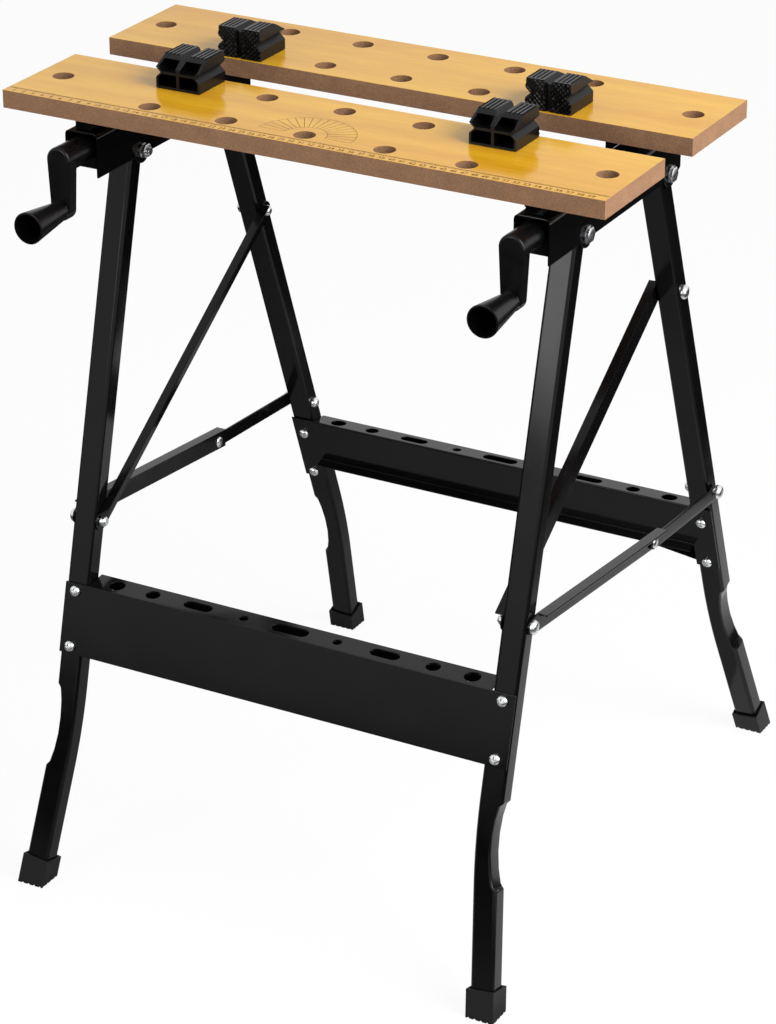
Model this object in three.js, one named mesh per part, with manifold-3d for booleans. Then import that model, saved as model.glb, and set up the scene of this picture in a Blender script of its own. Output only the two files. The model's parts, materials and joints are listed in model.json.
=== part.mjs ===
// Folding workbench with a two-board vice top, as a three.js assembly of separate pieces.
// Millimetres, +Z up. Origin on the floor, midway between the feet. The cranks face -Y.
// A person working at the cranks has the right side at +X.
import * as THREE from "three";
import { mergeVertices } from "three/addons/utils/BufferGeometryUtils.js";
import Module from "manifold-3d";

const wasm = await Module();
wasm.setup();

// Running and seating clearances
const FIT = 0.3;
const BORE_FIT = 0.35;

// Cutters run this far past what they cut
const PASS = 1;

// Jaw boards
const BOARD_LENGTH = 605;
const BOARD_WIDTH = 120;
const BOARD_THICK = 17;
const TOP_HEIGHT = 772;
const JAW_GAP = 58;
const REAR_JAW_FRONT_Y = -44.5;
const HOLE_DIA = 20;
const HOLE_PITCH = 80;
const HOLES_PER_ROW = 5;
const HOLE_ROW_OFFSET = 36;
const END_HOLE_INSET = 26.5;

// Legs, pivots and lean
const SIDE_INSET = 74.5;
const FOOT_SPLAY = 18;
const FOOT_Y = 310;
const PIVOT_ABOVE_RAIL = 4.5;
const FRONT_PIVOT_Y = -134;
const REAR_PIVOT_Y = 41;
const LEG_WIDTH = 24;
const LEG_DEPTH = 20;
const LEG_WALL = 1.5;
const LEG_CORNER = 2.5;
const LEG_ABOVE_PIVOT = 10;
const CRIMP_TOP_Z = 197;
const CRIMP_BOTTOM_Z = 116;
const CRIMP_DEPTH = 7.5;
// Share of the way down the crimp, share of its full depth
const CRIMP_PROFILE = [[0.04, 0.42], [0.18, 0.75], [0.38, 0.97], [0.6, 1], [0.8, 0.78], [0.95, 0.45]];

// Rubber boots
const BOOT_WIDTH = 28.4;
const BOOT_DEPTH = 27;
const BOOT_HEIGHT = 25;
const BOOT_FLOOR = 4;

// Side rails under the boards
const RAIL_WIDTH = 35;
const RAIL_WALL = 2;
const RAIL_CORNER = 5;
const RAIL_HEIGHT = 42;
const RAIL_FRONT_Y = -209;
const RAIL_REAR_Y = 62;
const RAIL_EAR = 12.5;

// Jaw carriage, riser, vice screw and bush
const RISER_WIDTH = 33;
const RISER_LENGTH = 90;
const RISER_HEIGHT = 15;
const RISER_WALL = 2.5;
const CARRIAGE_LENGTH = 92;
const STEM_WIDTH = 8;
const NUT_WIDTH = 24;
const NUT_LENGTH = 19;
const NUT_PAST_BOARD = 4;
const NUT_HEIGHT = 20;
const SCREW_DROP = 16;
const SCREW_DIA = 10;
const SCREW_COLLAR_DIA = 18;
const SCREW_COLLAR_LENGTH = 4;
const SCREW_TAIL = 12;
const BUSH_LENGTH = 10;
const BUSH_INSET = 13;
const BUSH_HEIGHT = 28;

// Crank handles
const HUB_DIA = 24.6;
const CRANK_REACH = 25;
const ARM_THICK = 14;
const ARM_THROW = 47.5;
const ARM_TOP_RADIUS = 12.5;
const ARM_END_RADIUS = 10;
const ARM_BEVEL = 1.5;
const GRIP_LENGTH = 51;
const GRIP_STRAIGHT = 2;
const GRIP_ROOT_RADIUS = 9.4;
const GRIP_END_RADIUS = 15;
const GRIP_WALL = 1.8;
const GRIP_RIM = 1;
const GRIP_RIM_INSET = 0.6;
const GRIP_BORE_DEPTH = 34;
const SCREW_IN_HUB = 30;

// Swivel bench dogs
const DOG_WIDTH = 46;
const DOG_DEPTH = 46;
const DOG_HEIGHT = 29;
const DOG_GROOVE = 5;
const DOG_GROOVE_Z = 15;
const DOG_GROOVE_RISE = 4.8;
const DOG_DRAFT = 1;
const DOG_BACK_SLOPE = 16.5;
const DOG_SPLIT_TOP = 9;
const DOG_SPLIT_BOTTOM = 2;
const DOG_SPLIT_DEPTH = 4;
const DOG_FACE_GROOVE = 3;
const DOG_FACE_GROOVE_WIDTH = 5;
const DOG_WALL = 2.2;
const DOG_MIDDLE_WALL = 3;
const DOG_MIDDLE_SPREAD = 1.7;
const DOG_SHELF = 2.4;
const DOG_TOP_SLAB = 3.5;
const DOG_POCKET_DEPTH = 24;
const DOG_PEG_OFFSET = -1;
const DOG_PEG_LENGTH = 20;
const DOG_PEG_TAPER = 2;
const DOG_RIB = 1.6;
const DOG_RIB_DEPTH = 1;
const DOG_RIB_COUNT = 4;

// Tool trays between the legs
const SHEET = 1.5;
const TRAY_EDGE = 7.5;
const REAR_TRAY_TOP_EDGE = 19.5;
const TRAY_FLANGE = 25;
const TRAY_BACK_LIP = 14;
const FRONT_TRAY_BOLTS = [426, 480.7];
const REAR_TRAY_BOLTS = [442.6, 498.3];
const FRONT_FLANGE_TILT = 4.5;
const REAR_FLANGE_TILT = -5;
const REAR_PLATE_SHORT = 27;
const REAR_LIP = 10;
// Place is a share of the way from the middle to the end of the flange
const TOOL_HOLES = [
  { place: 0.882, length: 16, width: 16 },
  { place: 0.696, length: 14, width: 14 },
  { place: 0.464, length: 30, width: 12 },
  { place: 0.232, length: 9, width: 9 },
  { place: 0, length: 38, width: 13 },
];

// Folding links. Offsets are measured down the leg from its pivot
const FRONT_LINK_OFFSET = 355.8;
const REAR_STRUT_OFFSET = 143.7;
const REAR_BRACE_OFFSET = 406;
const BRACE_FRONT_LENGTH = 258;
const BRACE_SAG = 4;
const LINK_SHEET = 2;
const BRACE_HALF_HEIGHT = 8;
const BRACE_FLANGE = 11;
const BRACE_OVERLAP = 14;
const BRACE_FLANGE_START = 10;
const STRUT_WIDTH = 19;
const STRUT_FLANGE = 9;

// Fasteners
const PIVOT_BOLT_DIA = 8;
const PIVOT_HEAD_DIA = 17;
const PIVOT_NUT_DIA = 14.3;
const PIVOT_SHOULDER_DIA = 14.4;
const LINK_BOLT_DIA = 6;
const LINK_HEAD_DIA = 14;
const LINK_NUT_DIA = 11;
const TRAY_BOLT_DIA = 6;
const TRAY_HEAD_DIA = 12.5;
const HEAD_HEIGHT = 4.5;
// A domed head: share of its height that is upright, then share of height and radius where the crown begins
const HEAD_RIM = 0.35;
const HEAD_CROWN = 0.85;
const CROWN_RADIUS = 0.62;
const NUT_THICK = 5.5;

// Sides of turned pieces and segments of arcs
const ROUND = 8;
const ROUND_LARGE = 16;
const ARC = 6;
const ARC_FINE = 10;
const ARC_COARSE = 4;

// Places that follow from the sizes above
const BOARD_BOTTOM_Z = TOP_HEIGHT - BOARD_THICK;
const RAIL_TOP_Z = BOARD_BOTTOM_Z - RISER_HEIGHT;
const RAIL_BOTTOM_Z = RAIL_TOP_Z - RAIL_HEIGHT;
const PIVOT_Z = RAIL_BOTTOM_Z + PIVOT_ABOVE_RAIL;
const SCREW_Z = RAIL_TOP_Z - SCREW_DROP;
const SIDE_X = BOARD_LENGTH / 2 - SIDE_INSET;
const FOOT_X = SIDE_X + FOOT_SPLAY;
const REAR_BOARD_Y = REAR_JAW_FRONT_Y + BOARD_WIDTH / 2;
const FRONT_BOARD_Y = REAR_JAW_FRONT_Y - JAW_GAP - BOARD_WIDTH / 2;
const FRONT_LEAN = Math.atan2(FOOT_Y + FRONT_PIVOT_Y, PIVOT_Z);
const REAR_LEAN = Math.atan2(FOOT_Y - REAR_PIVOT_Y, PIVOT_Z);
const LEG_OUTER_X = SIDE_X + LEG_WIDTH / 2;
const LEG_INNER_X = SIDE_X - LEG_WIDTH / 2;
const RAIL_OUTER_X = SIDE_X + RAIL_WIDTH / 2;
const RAIL_INNER_X = SIDE_X - RAIL_WIDTH / 2;
const NUT_Y = FRONT_BOARD_Y + BOARD_WIDTH / 2 + NUT_PAST_BOARD - NUT_LENGTH / 2;
const BUSH_FRONT_Y = RAIL_FRONT_Y + BUSH_INSET;
const ARM_BACK_Y = RAIL_FRONT_Y - CRANK_REACH;
const BRACE_X = LEG_OUTER_X + 2 * FIT;
const BRACE_REAR_X = BRACE_X + LINK_SHEET + FIT;
const STRUT_X = LEG_INNER_X - FIT;

// Finishes
function finish(color, roughness, metalness) {
  return new THREE.MeshStandardMaterial({ color, roughness, metalness });
}

const BLACK_PAINT = finish(0x0c0c0d, 0.28, 0.2);
const BLACK_PLASTIC = finish(0x141415, 0.5, 0);
const RUBBER = finish(0x111111, 0.75, 0);
const ZINC = finish(0xc4c6c8, 0.3, 0.9);
const STEEL = finish(0x8d9094, 0.4, 0.9);
const BOARD_FACE = finish(0xe3b45a, 0.45, 0);

// Solids and booleans
function toSolid(geometry) {
  const bare = geometry.clone();
  bare.deleteAttribute("normal");
  bare.deleteAttribute("uv");
  const merged = mergeVertices(bare, 1e-4);
  return new wasm.Manifold(new wasm.Mesh({
    numProp: 3,
    vertProperties: new Float32Array(merged.attributes.position.array),
    triVerts: new Uint32Array(merged.index.array),
  }));
}

function toGeometry(solid) {
  const mesh = solid.getMesh();
  const geometry = new THREE.BufferGeometry();
  geometry.setAttribute("position", new THREE.BufferAttribute(new Float32Array(mesh.vertProperties), 3));
  geometry.setIndex(new THREE.BufferAttribute(new Uint32Array(mesh.triVerts), 1));
  geometry.computeVertexNormals();
  return geometry;
}

const join = (...parts) => toGeometry(parts.map(toSolid).reduce((whole, part) => whole.add(part)));
const cut = (body, ...tools) => toGeometry(
  tools.map(toSolid).reduce((whole, tool) => whole.subtract(tool), toSolid(body)),
);
const overlapOf = (first, second) => toGeometry(toSolid(first).intersect(toSolid(second)));

// Outlines
function outline(points) {
  return new THREE.Shape(points.map(([a, b]) => new THREE.Vector2(a, b)));
}

function rectangle(a0, a1, b0, b1) {
  return outline([[a0, b0], [a1, b0], [a1, b1], [a0, b1]]);
}

function circleHole(a, b, radius) {
  return new THREE.Path().absarc(a, b, radius, 0, 2 * Math.PI, true);
}

function slotHole(a, b, length, width) {
  const radius = width / 2;
  const reach = (length - width) / 2;
  const path = new THREE.Path();
  path.absarc(a - reach, b, radius, -Math.PI / 2, Math.PI / 2, true);
  path.absarc(a + reach, b, radius, Math.PI / 2, -Math.PI / 2, true);
  path.closePath();
  return path;
}

// Two round ends joined by straight flanks, from (0, 0) to (0, -reach)
function taperedArm(topRadius, endRadius, reach) {
  const slope = Math.asin((topRadius - endRadius) / reach);
  const shape = new THREE.Shape();
  shape.absarc(0, 0, topRadius, slope, Math.PI - slope, false);
  shape.absarc(0, -reach, endRadius, Math.PI - slope, 2 * Math.PI + slope, false);
  shape.closePath();
  return shape;
}

// Extrusions along each axis: outlines lie in (y, z), (x, z) and (x, y)
const toX = new THREE.Matrix4().set(0, 0, 1, 0, 1, 0, 0, 0, 0, 1, 0, 0, 0, 0, 0, 1);
const toY = new THREE.Matrix4().set(1, 0, 0, 0, 0, 0, -1, 0, 0, 1, 0, 0, 0, 0, 0, 1);

function extrude(shape, depth, curveSegments, bevel = 0) {
  return new THREE.ExtrudeGeometry(shape, {
    depth, curveSegments, bevelEnabled: bevel > 0, bevelSegments: 1, bevelSize: bevel, bevelThickness: bevel,
  });
}

function extrudeX(shape, x0, x1, curveSegments = ARC) {
  return extrude(shape, x1 - x0, curveSegments).applyMatrix4(toX).translate(x0, 0, 0);
}

function extrudeY(shape, y0, y1, curveSegments = ARC) {
  return extrude(shape, y1 - y0, curveSegments).applyMatrix4(toY).translate(0, y1, 0);
}

function extrudeZ(shape, z0, z1, curveSegments = ARC) {
  return extrude(shape, z1 - z0, curveSegments).translate(0, 0, z0);
}

function block(x0, x1, y0, y1, z0, z1) {
  return new THREE.BoxGeometry(x1 - x0, y1 - y0, z1 - z0)
    .translate((x0 + x1) / 2, (y0 + y1) / 2, (z0 + z1) / 2);
}

// Turned pieces: a profile of [position along the axis, radius] pairs that ends on the axis
function turned(profile, sides = ROUND) {
  return new THREE.LatheGeometry(profile.map(([along, radius]) => new THREE.Vector2(radius, along)), sides);
}

const turnedX = (profile, sides) => turned(profile, sides).rotateZ(-Math.PI / 2);
const turnedY = (profile, sides) => turned(profile, sides);

function pinX(radius, x0, x1, y, z) {
  return turnedX([[x0, 0], [x0, radius], [x1, radius], [x1, 0]]).translate(0, y, z);
}

function pinY(radius, y0, y1, x, z, sides) {
  return turnedY([[y0, 0], [y0, radius], [y1, radius], [y1, 0]], sides).translate(x, 0, z);
}

// A round-headed bolt along X: domed head at the outer end, plain shank, nut at the inner end.
// collars is a list of [from, to, radius] shoulders between the plates.
function boltX({ nutFrom, nutTo, nutRadius, shankRadius, headFrom, headRadius, collars = [] }) {
  const profile = [[nutFrom, 0], [nutFrom, nutRadius], [nutTo, nutRadius], [nutTo, shankRadius]];
  for (const [from, to, radius] of collars) {
    profile.push([from, shankRadius], [from, radius], [to, radius], [to, shankRadius]);
  }
  profile.push(
    [headFrom, shankRadius],
    [headFrom, headRadius],
    [headFrom + HEAD_HEIGHT * HEAD_RIM, headRadius],
    [headFrom + HEAD_HEIGHT * HEAD_CROWN, headRadius * CROWN_RADIUS],
    [headFrom + HEAD_HEIGHT, 0],
  );
  return turnedX(profile);
}

// Jaw boards
function jawBoard(centreY) {
  const half = { x: BOARD_LENGTH / 2, y: BOARD_WIDTH / 2 };
  const shape = rectangle(-half.x, half.x, -half.y, half.y);
  const radius = HOLE_DIA / 2;
  const firstHole = -HOLE_PITCH * (HOLES_PER_ROW - 1) / 2;
  for (let i = 0; i < HOLES_PER_ROW; i += 1) {
    for (const row of [-HOLE_ROW_OFFSET, HOLE_ROW_OFFSET]) {
      shape.holes.push(circleHole(firstHole + i * HOLE_PITCH, row, radius));
    }
  }
  for (const end of [-1, 1]) {
    shape.holes.push(circleHole(end * (half.x - END_HOLE_INSET), 0, radius));
  }
  return extrudeZ(shape, BOARD_BOTTOM_Z, TOP_HEIGHT, ARC_FINE).translate(0, centreY, 0);
}

// Rail: rounded inverted channel with a low ear round each leg pivot and a slot for the nut stem
function rail() {
  const side = new THREE.Shape();
  side.moveTo(RAIL_FRONT_Y, RAIL_TOP_Z);
  side.lineTo(RAIL_FRONT_Y, RAIL_BOTTOM_Z);
  const drop = PIVOT_Z - RAIL_BOTTOM_Z;
  const turn = Math.acos(-drop / RAIL_EAR) - Math.PI / 2;
  for (const y of [FRONT_PIVOT_Y, REAR_PIVOT_Y]) {
    side.absarc(y, PIVOT_Z, RAIL_EAR, Math.PI + turn, 2 * Math.PI - turn, false);
  }
  side.lineTo(RAIL_REAR_Y, RAIL_BOTTOM_Z + RAIL_CORNER);
  side.lineTo(RAIL_REAR_Y, RAIL_TOP_Z);
  side.closePath();

  const inside = RAIL_WIDTH / 2 - RAIL_WALL;
  const low = RAIL_BOTTOM_Z - RAIL_EAR;
  const section = new THREE.Shape();
  section.moveTo(RAIL_INNER_X, low);
  section.lineTo(SIDE_X - inside, low);
  section.lineTo(SIDE_X - inside, RAIL_TOP_Z - RAIL_WALL);
  section.lineTo(SIDE_X + inside, RAIL_TOP_Z - RAIL_WALL);
  section.lineTo(SIDE_X + inside, low);
  section.lineTo(RAIL_OUTER_X, low);
  const crownZ = RAIL_TOP_Z - RAIL_CORNER;
  section.absarc(RAIL_OUTER_X - RAIL_CORNER, crownZ, RAIL_CORNER, 0, Math.PI / 2, false);
  section.absarc(RAIL_INNER_X + RAIL_CORNER, crownZ, RAIL_CORNER, Math.PI / 2, Math.PI, false);
  section.closePath();

  const channel = overlapOf(
    extrudeX(side, RAIL_INNER_X - PASS, RAIL_OUTER_X + PASS, ARC_FINE),
    extrudeY(section, RAIL_FRONT_Y - PASS, RAIL_REAR_Y + PASS, ARC_COARSE),
  );
  const slot = block(
    SIDE_X - STEM_WIDTH / 2 - FIT, SIDE_X + STEM_WIDTH / 2 + FIT,
    NUT_Y - NUT_LENGTH / 2 - FIT, NUT_Y + NUT_LENGTH / 2 + JAW_GAP + FIT,
    RAIL_TOP_Z - RAIL_WALL - PASS, RAIL_TOP_Z + PASS,
  );
  const boltHoles = [FRONT_PIVOT_Y, REAR_PIVOT_Y].map(
    (y) => pinX(PIVOT_BOLT_DIA / 2 + BORE_FIT, RAIL_INNER_X - PASS, RAIL_OUTER_X + PASS, y, PIVOT_Z),
  );
  return cut(channel, slot, ...boltHoles);
}

// Open channel that lifts a board off its rail
function riserSection(bottomZ) {
  const half = RISER_WIDTH / 2;
  return outline([
    [SIDE_X - half, bottomZ], [SIDE_X - half + RISER_WALL, bottomZ],
    [SIDE_X - half + RISER_WALL, BOARD_BOTTOM_Z - RISER_WALL],
    [SIDE_X + half - RISER_WALL, BOARD_BOTTOM_Z - RISER_WALL],
    [SIDE_X + half - RISER_WALL, bottomZ], [SIDE_X + half, bottomZ],
    [SIDE_X + half, BOARD_BOTTOM_Z], [SIDE_X - half, BOARD_BOTTOM_Z],
  ]);
}

function rearRiser() {
  return extrudeY(riserSection(RAIL_TOP_Z), REAR_BOARD_Y - RISER_LENGTH / 2, REAR_BOARD_Y + RISER_LENGTH / 2);
}

function screwBore(y0, y1) {
  return pinY(SCREW_DIA / 2 + BORE_FIT, y0, y1, SIDE_X, SCREW_Z, ROUND_LARGE);
}

// Carriage of the moving jaw: riser channel, stem through the rail slot and the screw nut
function jawCarriage() {
  const rearY = NUT_Y + NUT_LENGTH / 2;
  const channel = extrudeY(riserSection(RAIL_TOP_Z + FIT), rearY - CARRIAGE_LENGTH, rearY);
  const stem = block(
    SIDE_X - STEM_WIDTH / 2, SIDE_X + STEM_WIDTH / 2,
    NUT_Y - NUT_LENGTH / 2, rearY,
    SCREW_Z, BOARD_BOTTOM_Z - RISER_WALL / 2,
  );
  const nut = block(
    SIDE_X - NUT_WIDTH / 2, SIDE_X + NUT_WIDTH / 2,
    NUT_Y - NUT_LENGTH / 2, rearY,
    SCREW_Z - NUT_HEIGHT / 2, SCREW_Z + NUT_HEIGHT / 2,
  );
  return cut(join(channel, stem, nut), screwBore(NUT_Y - NUT_LENGTH, NUT_Y + NUT_LENGTH));
}

// Bush that carries the vice screw in the front of the rail
function screwBush() {
  const inside = RAIL_WIDTH / 2 - RAIL_WALL;
  const top = RAIL_TOP_Z - RAIL_WALL;
  const body = block(
    SIDE_X - inside, SIDE_X + inside,
    BUSH_FRONT_Y, BUSH_FRONT_Y + BUSH_LENGTH,
    top - BUSH_HEIGHT, top,
  );
  return cut(body, screwBore(BUSH_FRONT_Y - PASS, BUSH_FRONT_Y + BUSH_LENGTH + PASS));
}

function viceScrew() {
  const radius = SCREW_DIA / 2;
  const collarFrom = BUSH_FRONT_Y + BUSH_LENGTH + FIT;
  const tail = NUT_Y + NUT_LENGTH / 2 + JAW_GAP + SCREW_TAIL;
  const collarTo = collarFrom + SCREW_COLLAR_LENGTH;
  const collar = SCREW_COLLAR_DIA / 2;
  const tip = BUSH_FRONT_Y - FIT - SCREW_IN_HUB;
  return turnedY([
    [tip, 0], [tip, radius], [collarFrom, radius], [collarFrom, collar],
    [collarTo, collar], [collarTo, radius], [tail, radius], [tail, 0],
  ], ROUND_LARGE).translate(SIDE_X, 0, SCREW_Z);
}

// Crank: hub over the screw, tapered arm and a flared hollow grip
function crank() {
  const hubEnd = BUSH_FRONT_Y - FIT;
  const hub = pinY(HUB_DIA / 2, ARM_BACK_Y - ARM_THICK / 2, hubEnd, 0, 0, ROUND_LARGE);
  const armShape = taperedArm(ARM_TOP_RADIUS - ARM_BEVEL, ARM_END_RADIUS - ARM_BEVEL, ARM_THROW);
  const arm = extrude(armShape, ARM_THICK - 2 * ARM_BEVEL, ARC, ARM_BEVEL)
    .applyMatrix4(toY).translate(0, ARM_BACK_Y - ARM_BEVEL, 0);
  const root = ARM_BACK_Y - ARM_THICK;
  const end = root - GRIP_LENGTH;
  const boreEnd = end + GRIP_BORE_DEPTH;
  const grip = turnedY([
    [root + ARM_THICK / 2, 0], [root + ARM_THICK / 2, GRIP_ROOT_RADIUS],
    [root - GRIP_STRAIGHT, GRIP_ROOT_RADIUS], [end + GRIP_RIM, GRIP_END_RADIUS],
    [end, GRIP_END_RADIUS - GRIP_RIM_INSET],
    [end, GRIP_END_RADIUS - GRIP_WALL], [boreEnd, GRIP_ROOT_RADIUS - GRIP_WALL], [boreEnd, 0],
  ].reverse(), ROUND_LARGE).translate(0, 0, -ARM_THROW);
  const screwSeat = pinY(SCREW_DIA / 2 + FIT, hubEnd - SCREW_IN_HUB - FIT, hubEnd + PASS, 0, 0, ROUND_LARGE);
  return cut(join(hub, arm, grip), screwSeat).translate(SIDE_X, 0, SCREW_Z);
}

// Bench dog: grooved block on a peg. Its gripping face looks towards -Y and its origin is the peg's axis
// on the board's top.
function dog() {
  const half = DOG_WIDTH / 2;
  const split = DOG_SPLIT_TOP / 2;
  const waist = half - DOG_GROOVE;
  const front = -DOG_DEPTH / 2 - DOG_PEG_OFFSET;
  const back = front + DOG_DEPTH;
  const [grooveLow, grooveHigh] = [DOG_GROOVE_Z - DOG_GROOVE_RISE, DOG_GROOVE_Z + DOG_GROOVE_RISE];
  const rightHalf = [
    [half, 0], [half, grooveLow], [waist, DOG_GROOVE_Z], [half, grooveHigh], [half - DOG_DRAFT, DOG_HEIGHT],
    [split, DOG_HEIGHT], [DOG_SPLIT_BOTTOM / 2, DOG_HEIGHT - DOG_SPLIT_DEPTH],
  ];
  const leftHalf = rightHalf.map(([x, z]) => [-x, z]).reverse();
  const body = extrudeY(outline([...rightHalf, ...leftHalf]), front, back);
  const passRise = PASS * (DOG_HEIGHT - grooveHigh) / DOG_BACK_SLOPE;
  const slope = extrudeX(
    outline([
      [back + PASS, grooveHigh - passRise],
      [back + PASS, DOG_HEIGHT + 2 * PASS],
      [back - DOG_BACK_SLOPE - PASS, DOG_HEIGHT + 2 * PASS],
      [back - DOG_BACK_SLOPE - PASS, DOG_HEIGHT + passRise],
    ]),
    -half - PASS, half + PASS,
  );
  const faceHalf = DOG_FACE_GROOVE_WIDTH / 2;
  const faceGroove = block(
    -faceHalf, faceHalf, front - PASS, front + DOG_FACE_GROOVE, -PASS, DOG_HEIGHT + PASS,
  );
  const inner = DOG_MIDDLE_WALL / 2;
  const outer = half - DOG_WALL;
  const pocketWaist = waist - DOG_WALL / 2;
  const [shelfLow, shelfHigh] = [DOG_GROOVE_Z - DOG_SHELF / 2, DOG_GROOVE_Z + DOG_SHELF / 2];
  const pocketTop = DOG_HEIGHT - DOG_TOP_SLAB;
  const pocketShapes = [
    [[inner, DOG_WALL], [outer, DOG_WALL], [outer, grooveLow], [pocketWaist, shelfLow], [inner, shelfLow]],
    [
      [inner, shelfHigh], [pocketWaist, shelfHigh], [outer, grooveHigh],
      [outer - DOG_DRAFT, pocketTop], [inner + DOG_MIDDLE_SPREAD, pocketTop],
    ],
  ];
  const pockets = [];
  for (const shape of pocketShapes) {
    const right = extrudeY(outline(shape), back - DOG_POCKET_DEPTH, back + PASS);
    const left = extrudeY(
      outline(shape.map(([x, z]) => [-x, z]).reverse()), back - DOG_POCKET_DEPTH, back + PASS,
    );
    pockets.push(right, left);
  }
  const grooves = [];
  const ribPitch = (half - split) / (DOG_RIB_COUNT + 0.5);
  for (const end of [-1, 1]) {
    for (let i = 1; i <= DOG_RIB_COUNT; i += 1) {
      const x = end * (split + i * ribPitch);
      grooves.push(block(
        x - DOG_RIB / 2, x + DOG_RIB / 2,
        front + DOG_FACE_GROOVE, back + PASS,
        DOG_HEIGHT - DOG_RIB_DEPTH, DOG_HEIGHT + PASS,
      ));
    }
  }
  const pegRadius = HOLE_DIA / 2 - BORE_FIT;
  const peg = turned([
    [-DOG_PEG_LENGTH, 0], [-DOG_PEG_LENGTH, pegRadius - DOG_PEG_TAPER],
    [DOG_PEG_TAPER - DOG_PEG_LENGTH, pegRadius], [PASS, pegRadius], [PASS, 0],
  ], ROUND_LARGE).rotateX(Math.PI / 2);
  return join(cut(body, slope, faceGroove, ...pockets, ...grooves), peg);
}

// Legs: rectangular tubes that run straight from the pivot, then bend outwards through a pressed crimp.
// The local frame has its origin on the pivot, +X outwards, Y across the tube and -Z down the leg.
function legPath(lean) {
  const along = (z) => (PIVOT_Z - z) / Math.cos(lean);
  const top = along(CRIMP_TOP_Z);
  const bottom = along(CRIMP_BOTTOM_Z);
  const end = along(0);
  const splay = (FOOT_X - SIDE_X) / (end - (top + bottom) / 2);
  const centre = (s) => {
    if (s <= top) return SIDE_X;
    if (s >= bottom) return SIDE_X + splay * (s - (top + bottom) / 2);
    return SIDE_X + splay * (s - top) ** 2 / (2 * (bottom - top));
  };
  return { along, top, bottom, end, centre };
}

// One ring of a tube section: rounded corners, with extra points on the outer face that the crimp pushes in
function tubeRing(inset, push) {
  const half = { x: LEG_WIDTH / 2 - inset, y: LEG_DEPTH / 2 - inset };
  const radius = LEG_CORNER - inset;
  const ring = [];
  for (const [sx, sy, start] of [[1, -1, -90], [1, 1, 0], [-1, 1, 90], [-1, -1, 180]]) {
    for (const step of [0, 90]) {
      const angle = THREE.MathUtils.degToRad(start + step);
      ring.push([
        sx * (half.x - radius) + radius * Math.cos(angle),
        sy * (half.y - radius) + radius * Math.sin(angle),
      ]);
    }
    if (sx === 1 && sy === -1) ring.push([half.x, -half.y / 3], [half.x, half.y / 3]);
  }
  return ring.map(([x, y]) => [x > 0 ? x - push * (x / half.x) : x, y]);
}

function leg(lean, tilt) {
  const path = legPath(lean);
  const stops = [
    [-LEG_ABOVE_PIVOT, 0], [path.top, 0],
    ...CRIMP_PROFILE.map(
      ([share, push]) => [path.top + share * (path.bottom - path.top), push * CRIMP_DEPTH],
    ),
    [path.bottom, 0],
  ];
  const endZ = BOOT_FLOOR + FIT;
  const position = [];
  const rings = [];
  const addRing = (inset, push, place) => {
    const ring = tubeRing(inset, push);
    const first = position.length / 3;
    for (const [x, y] of ring) {
      const s = place(y);
      position.push(path.centre(s) + x, y, -s);
    }
    rings.push(first);
    return ring.length;
  };
  let count = 0;
  const stations = stops.map(([s, push]) => [push, () => s]);
  stations.push([0, (y) => (PIVOT_Z - endZ + y * Math.sin(tilt)) / Math.cos(tilt)]);
  for (const [push, place] of stations) {
    count = addRing(0, push, place);
    addRing(LEG_WALL, push, place);
  }
  const index = [];
  const quad = (a, b, c, d) => index.push(a, b, c, a, c, d);
  const last = stations.length - 1;
  for (let j = 0; j < count; j += 1) {
    const k = (j + 1) % count;
    for (let i = 0; i < last; i += 1) {
      const [outer, inner] = [rings[2 * i], rings[2 * i + 1]];
      const [outerNext, innerNext] = [rings[2 * i + 2], rings[2 * i + 3]];
      quad(outer + j, outerNext + j, outerNext + k, outer + k);
      quad(inner + j, inner + k, innerNext + k, innerNext + j);
    }
    quad(rings[0] + j, rings[0] + k, rings[1] + k, rings[1] + j);
    quad(rings[2 * last] + j, rings[2 * last + 1] + j, rings[2 * last + 1] + k, rings[2 * last] + k);
  }
  const geometry = new THREE.BufferGeometry();
  geometry.setAttribute("position", new THREE.Float32BufferAttribute(position, 3));
  geometry.setIndex(index);
  return geometry;
}

function drilledLeg(lean, tilt, pivots, trayBolts) {
  const across = pivots.map(
    ([s, dia]) => pinX(dia / 2 + BORE_FIT, LEG_INNER_X - PASS, LEG_OUTER_X + PASS, 0, -s),
  );
  const through = trayBolts.map(
    (s) => pinY(TRAY_BOLT_DIA / 2 + BORE_FIT, -LEG_DEPTH, LEG_DEPTH, SIDE_X, -s, ROUND),
  );
  return cut(leg(lean, tilt), ...across, ...through);
}

// Boot: a cup that leans with the leg and stands flat on the floor
function boot(lean, footSide) {
  const path = legPath(lean);
  const centreAt = (z) => {
    const s = path.along(z);
    const pivotY = footSide < 0 ? FRONT_PIVOT_Y : REAR_PIVOT_Y;
    return [path.centre(s), pivotY + footSide * s * Math.sin(lean)];
  };
  const prism = (z0, z1, width, depth) => {
    const geometry = new THREE.BoxGeometry(width, depth, z1 - z0);
    const place = geometry.attributes.position;
    for (let i = 0; i < place.count; i += 1) {
      const z = place.getZ(i) > 0 ? z1 : z0;
      const [x, y] = centreAt(z);
      place.setXYZ(i, place.getX(i) + x, place.getY(i) + y, z);
    }
    return geometry;
  };
  const cavity = prism(
    BOOT_FLOOR, BOOT_HEIGHT + PASS, LEG_WIDTH + 4 * FIT, LEG_DEPTH / Math.cos(lean) + 2 * FIT,
  );
  return cut(prism(0, BOOT_HEIGHT, BOOT_WIDTH, BOOT_DEPTH), cavity);
}

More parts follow.
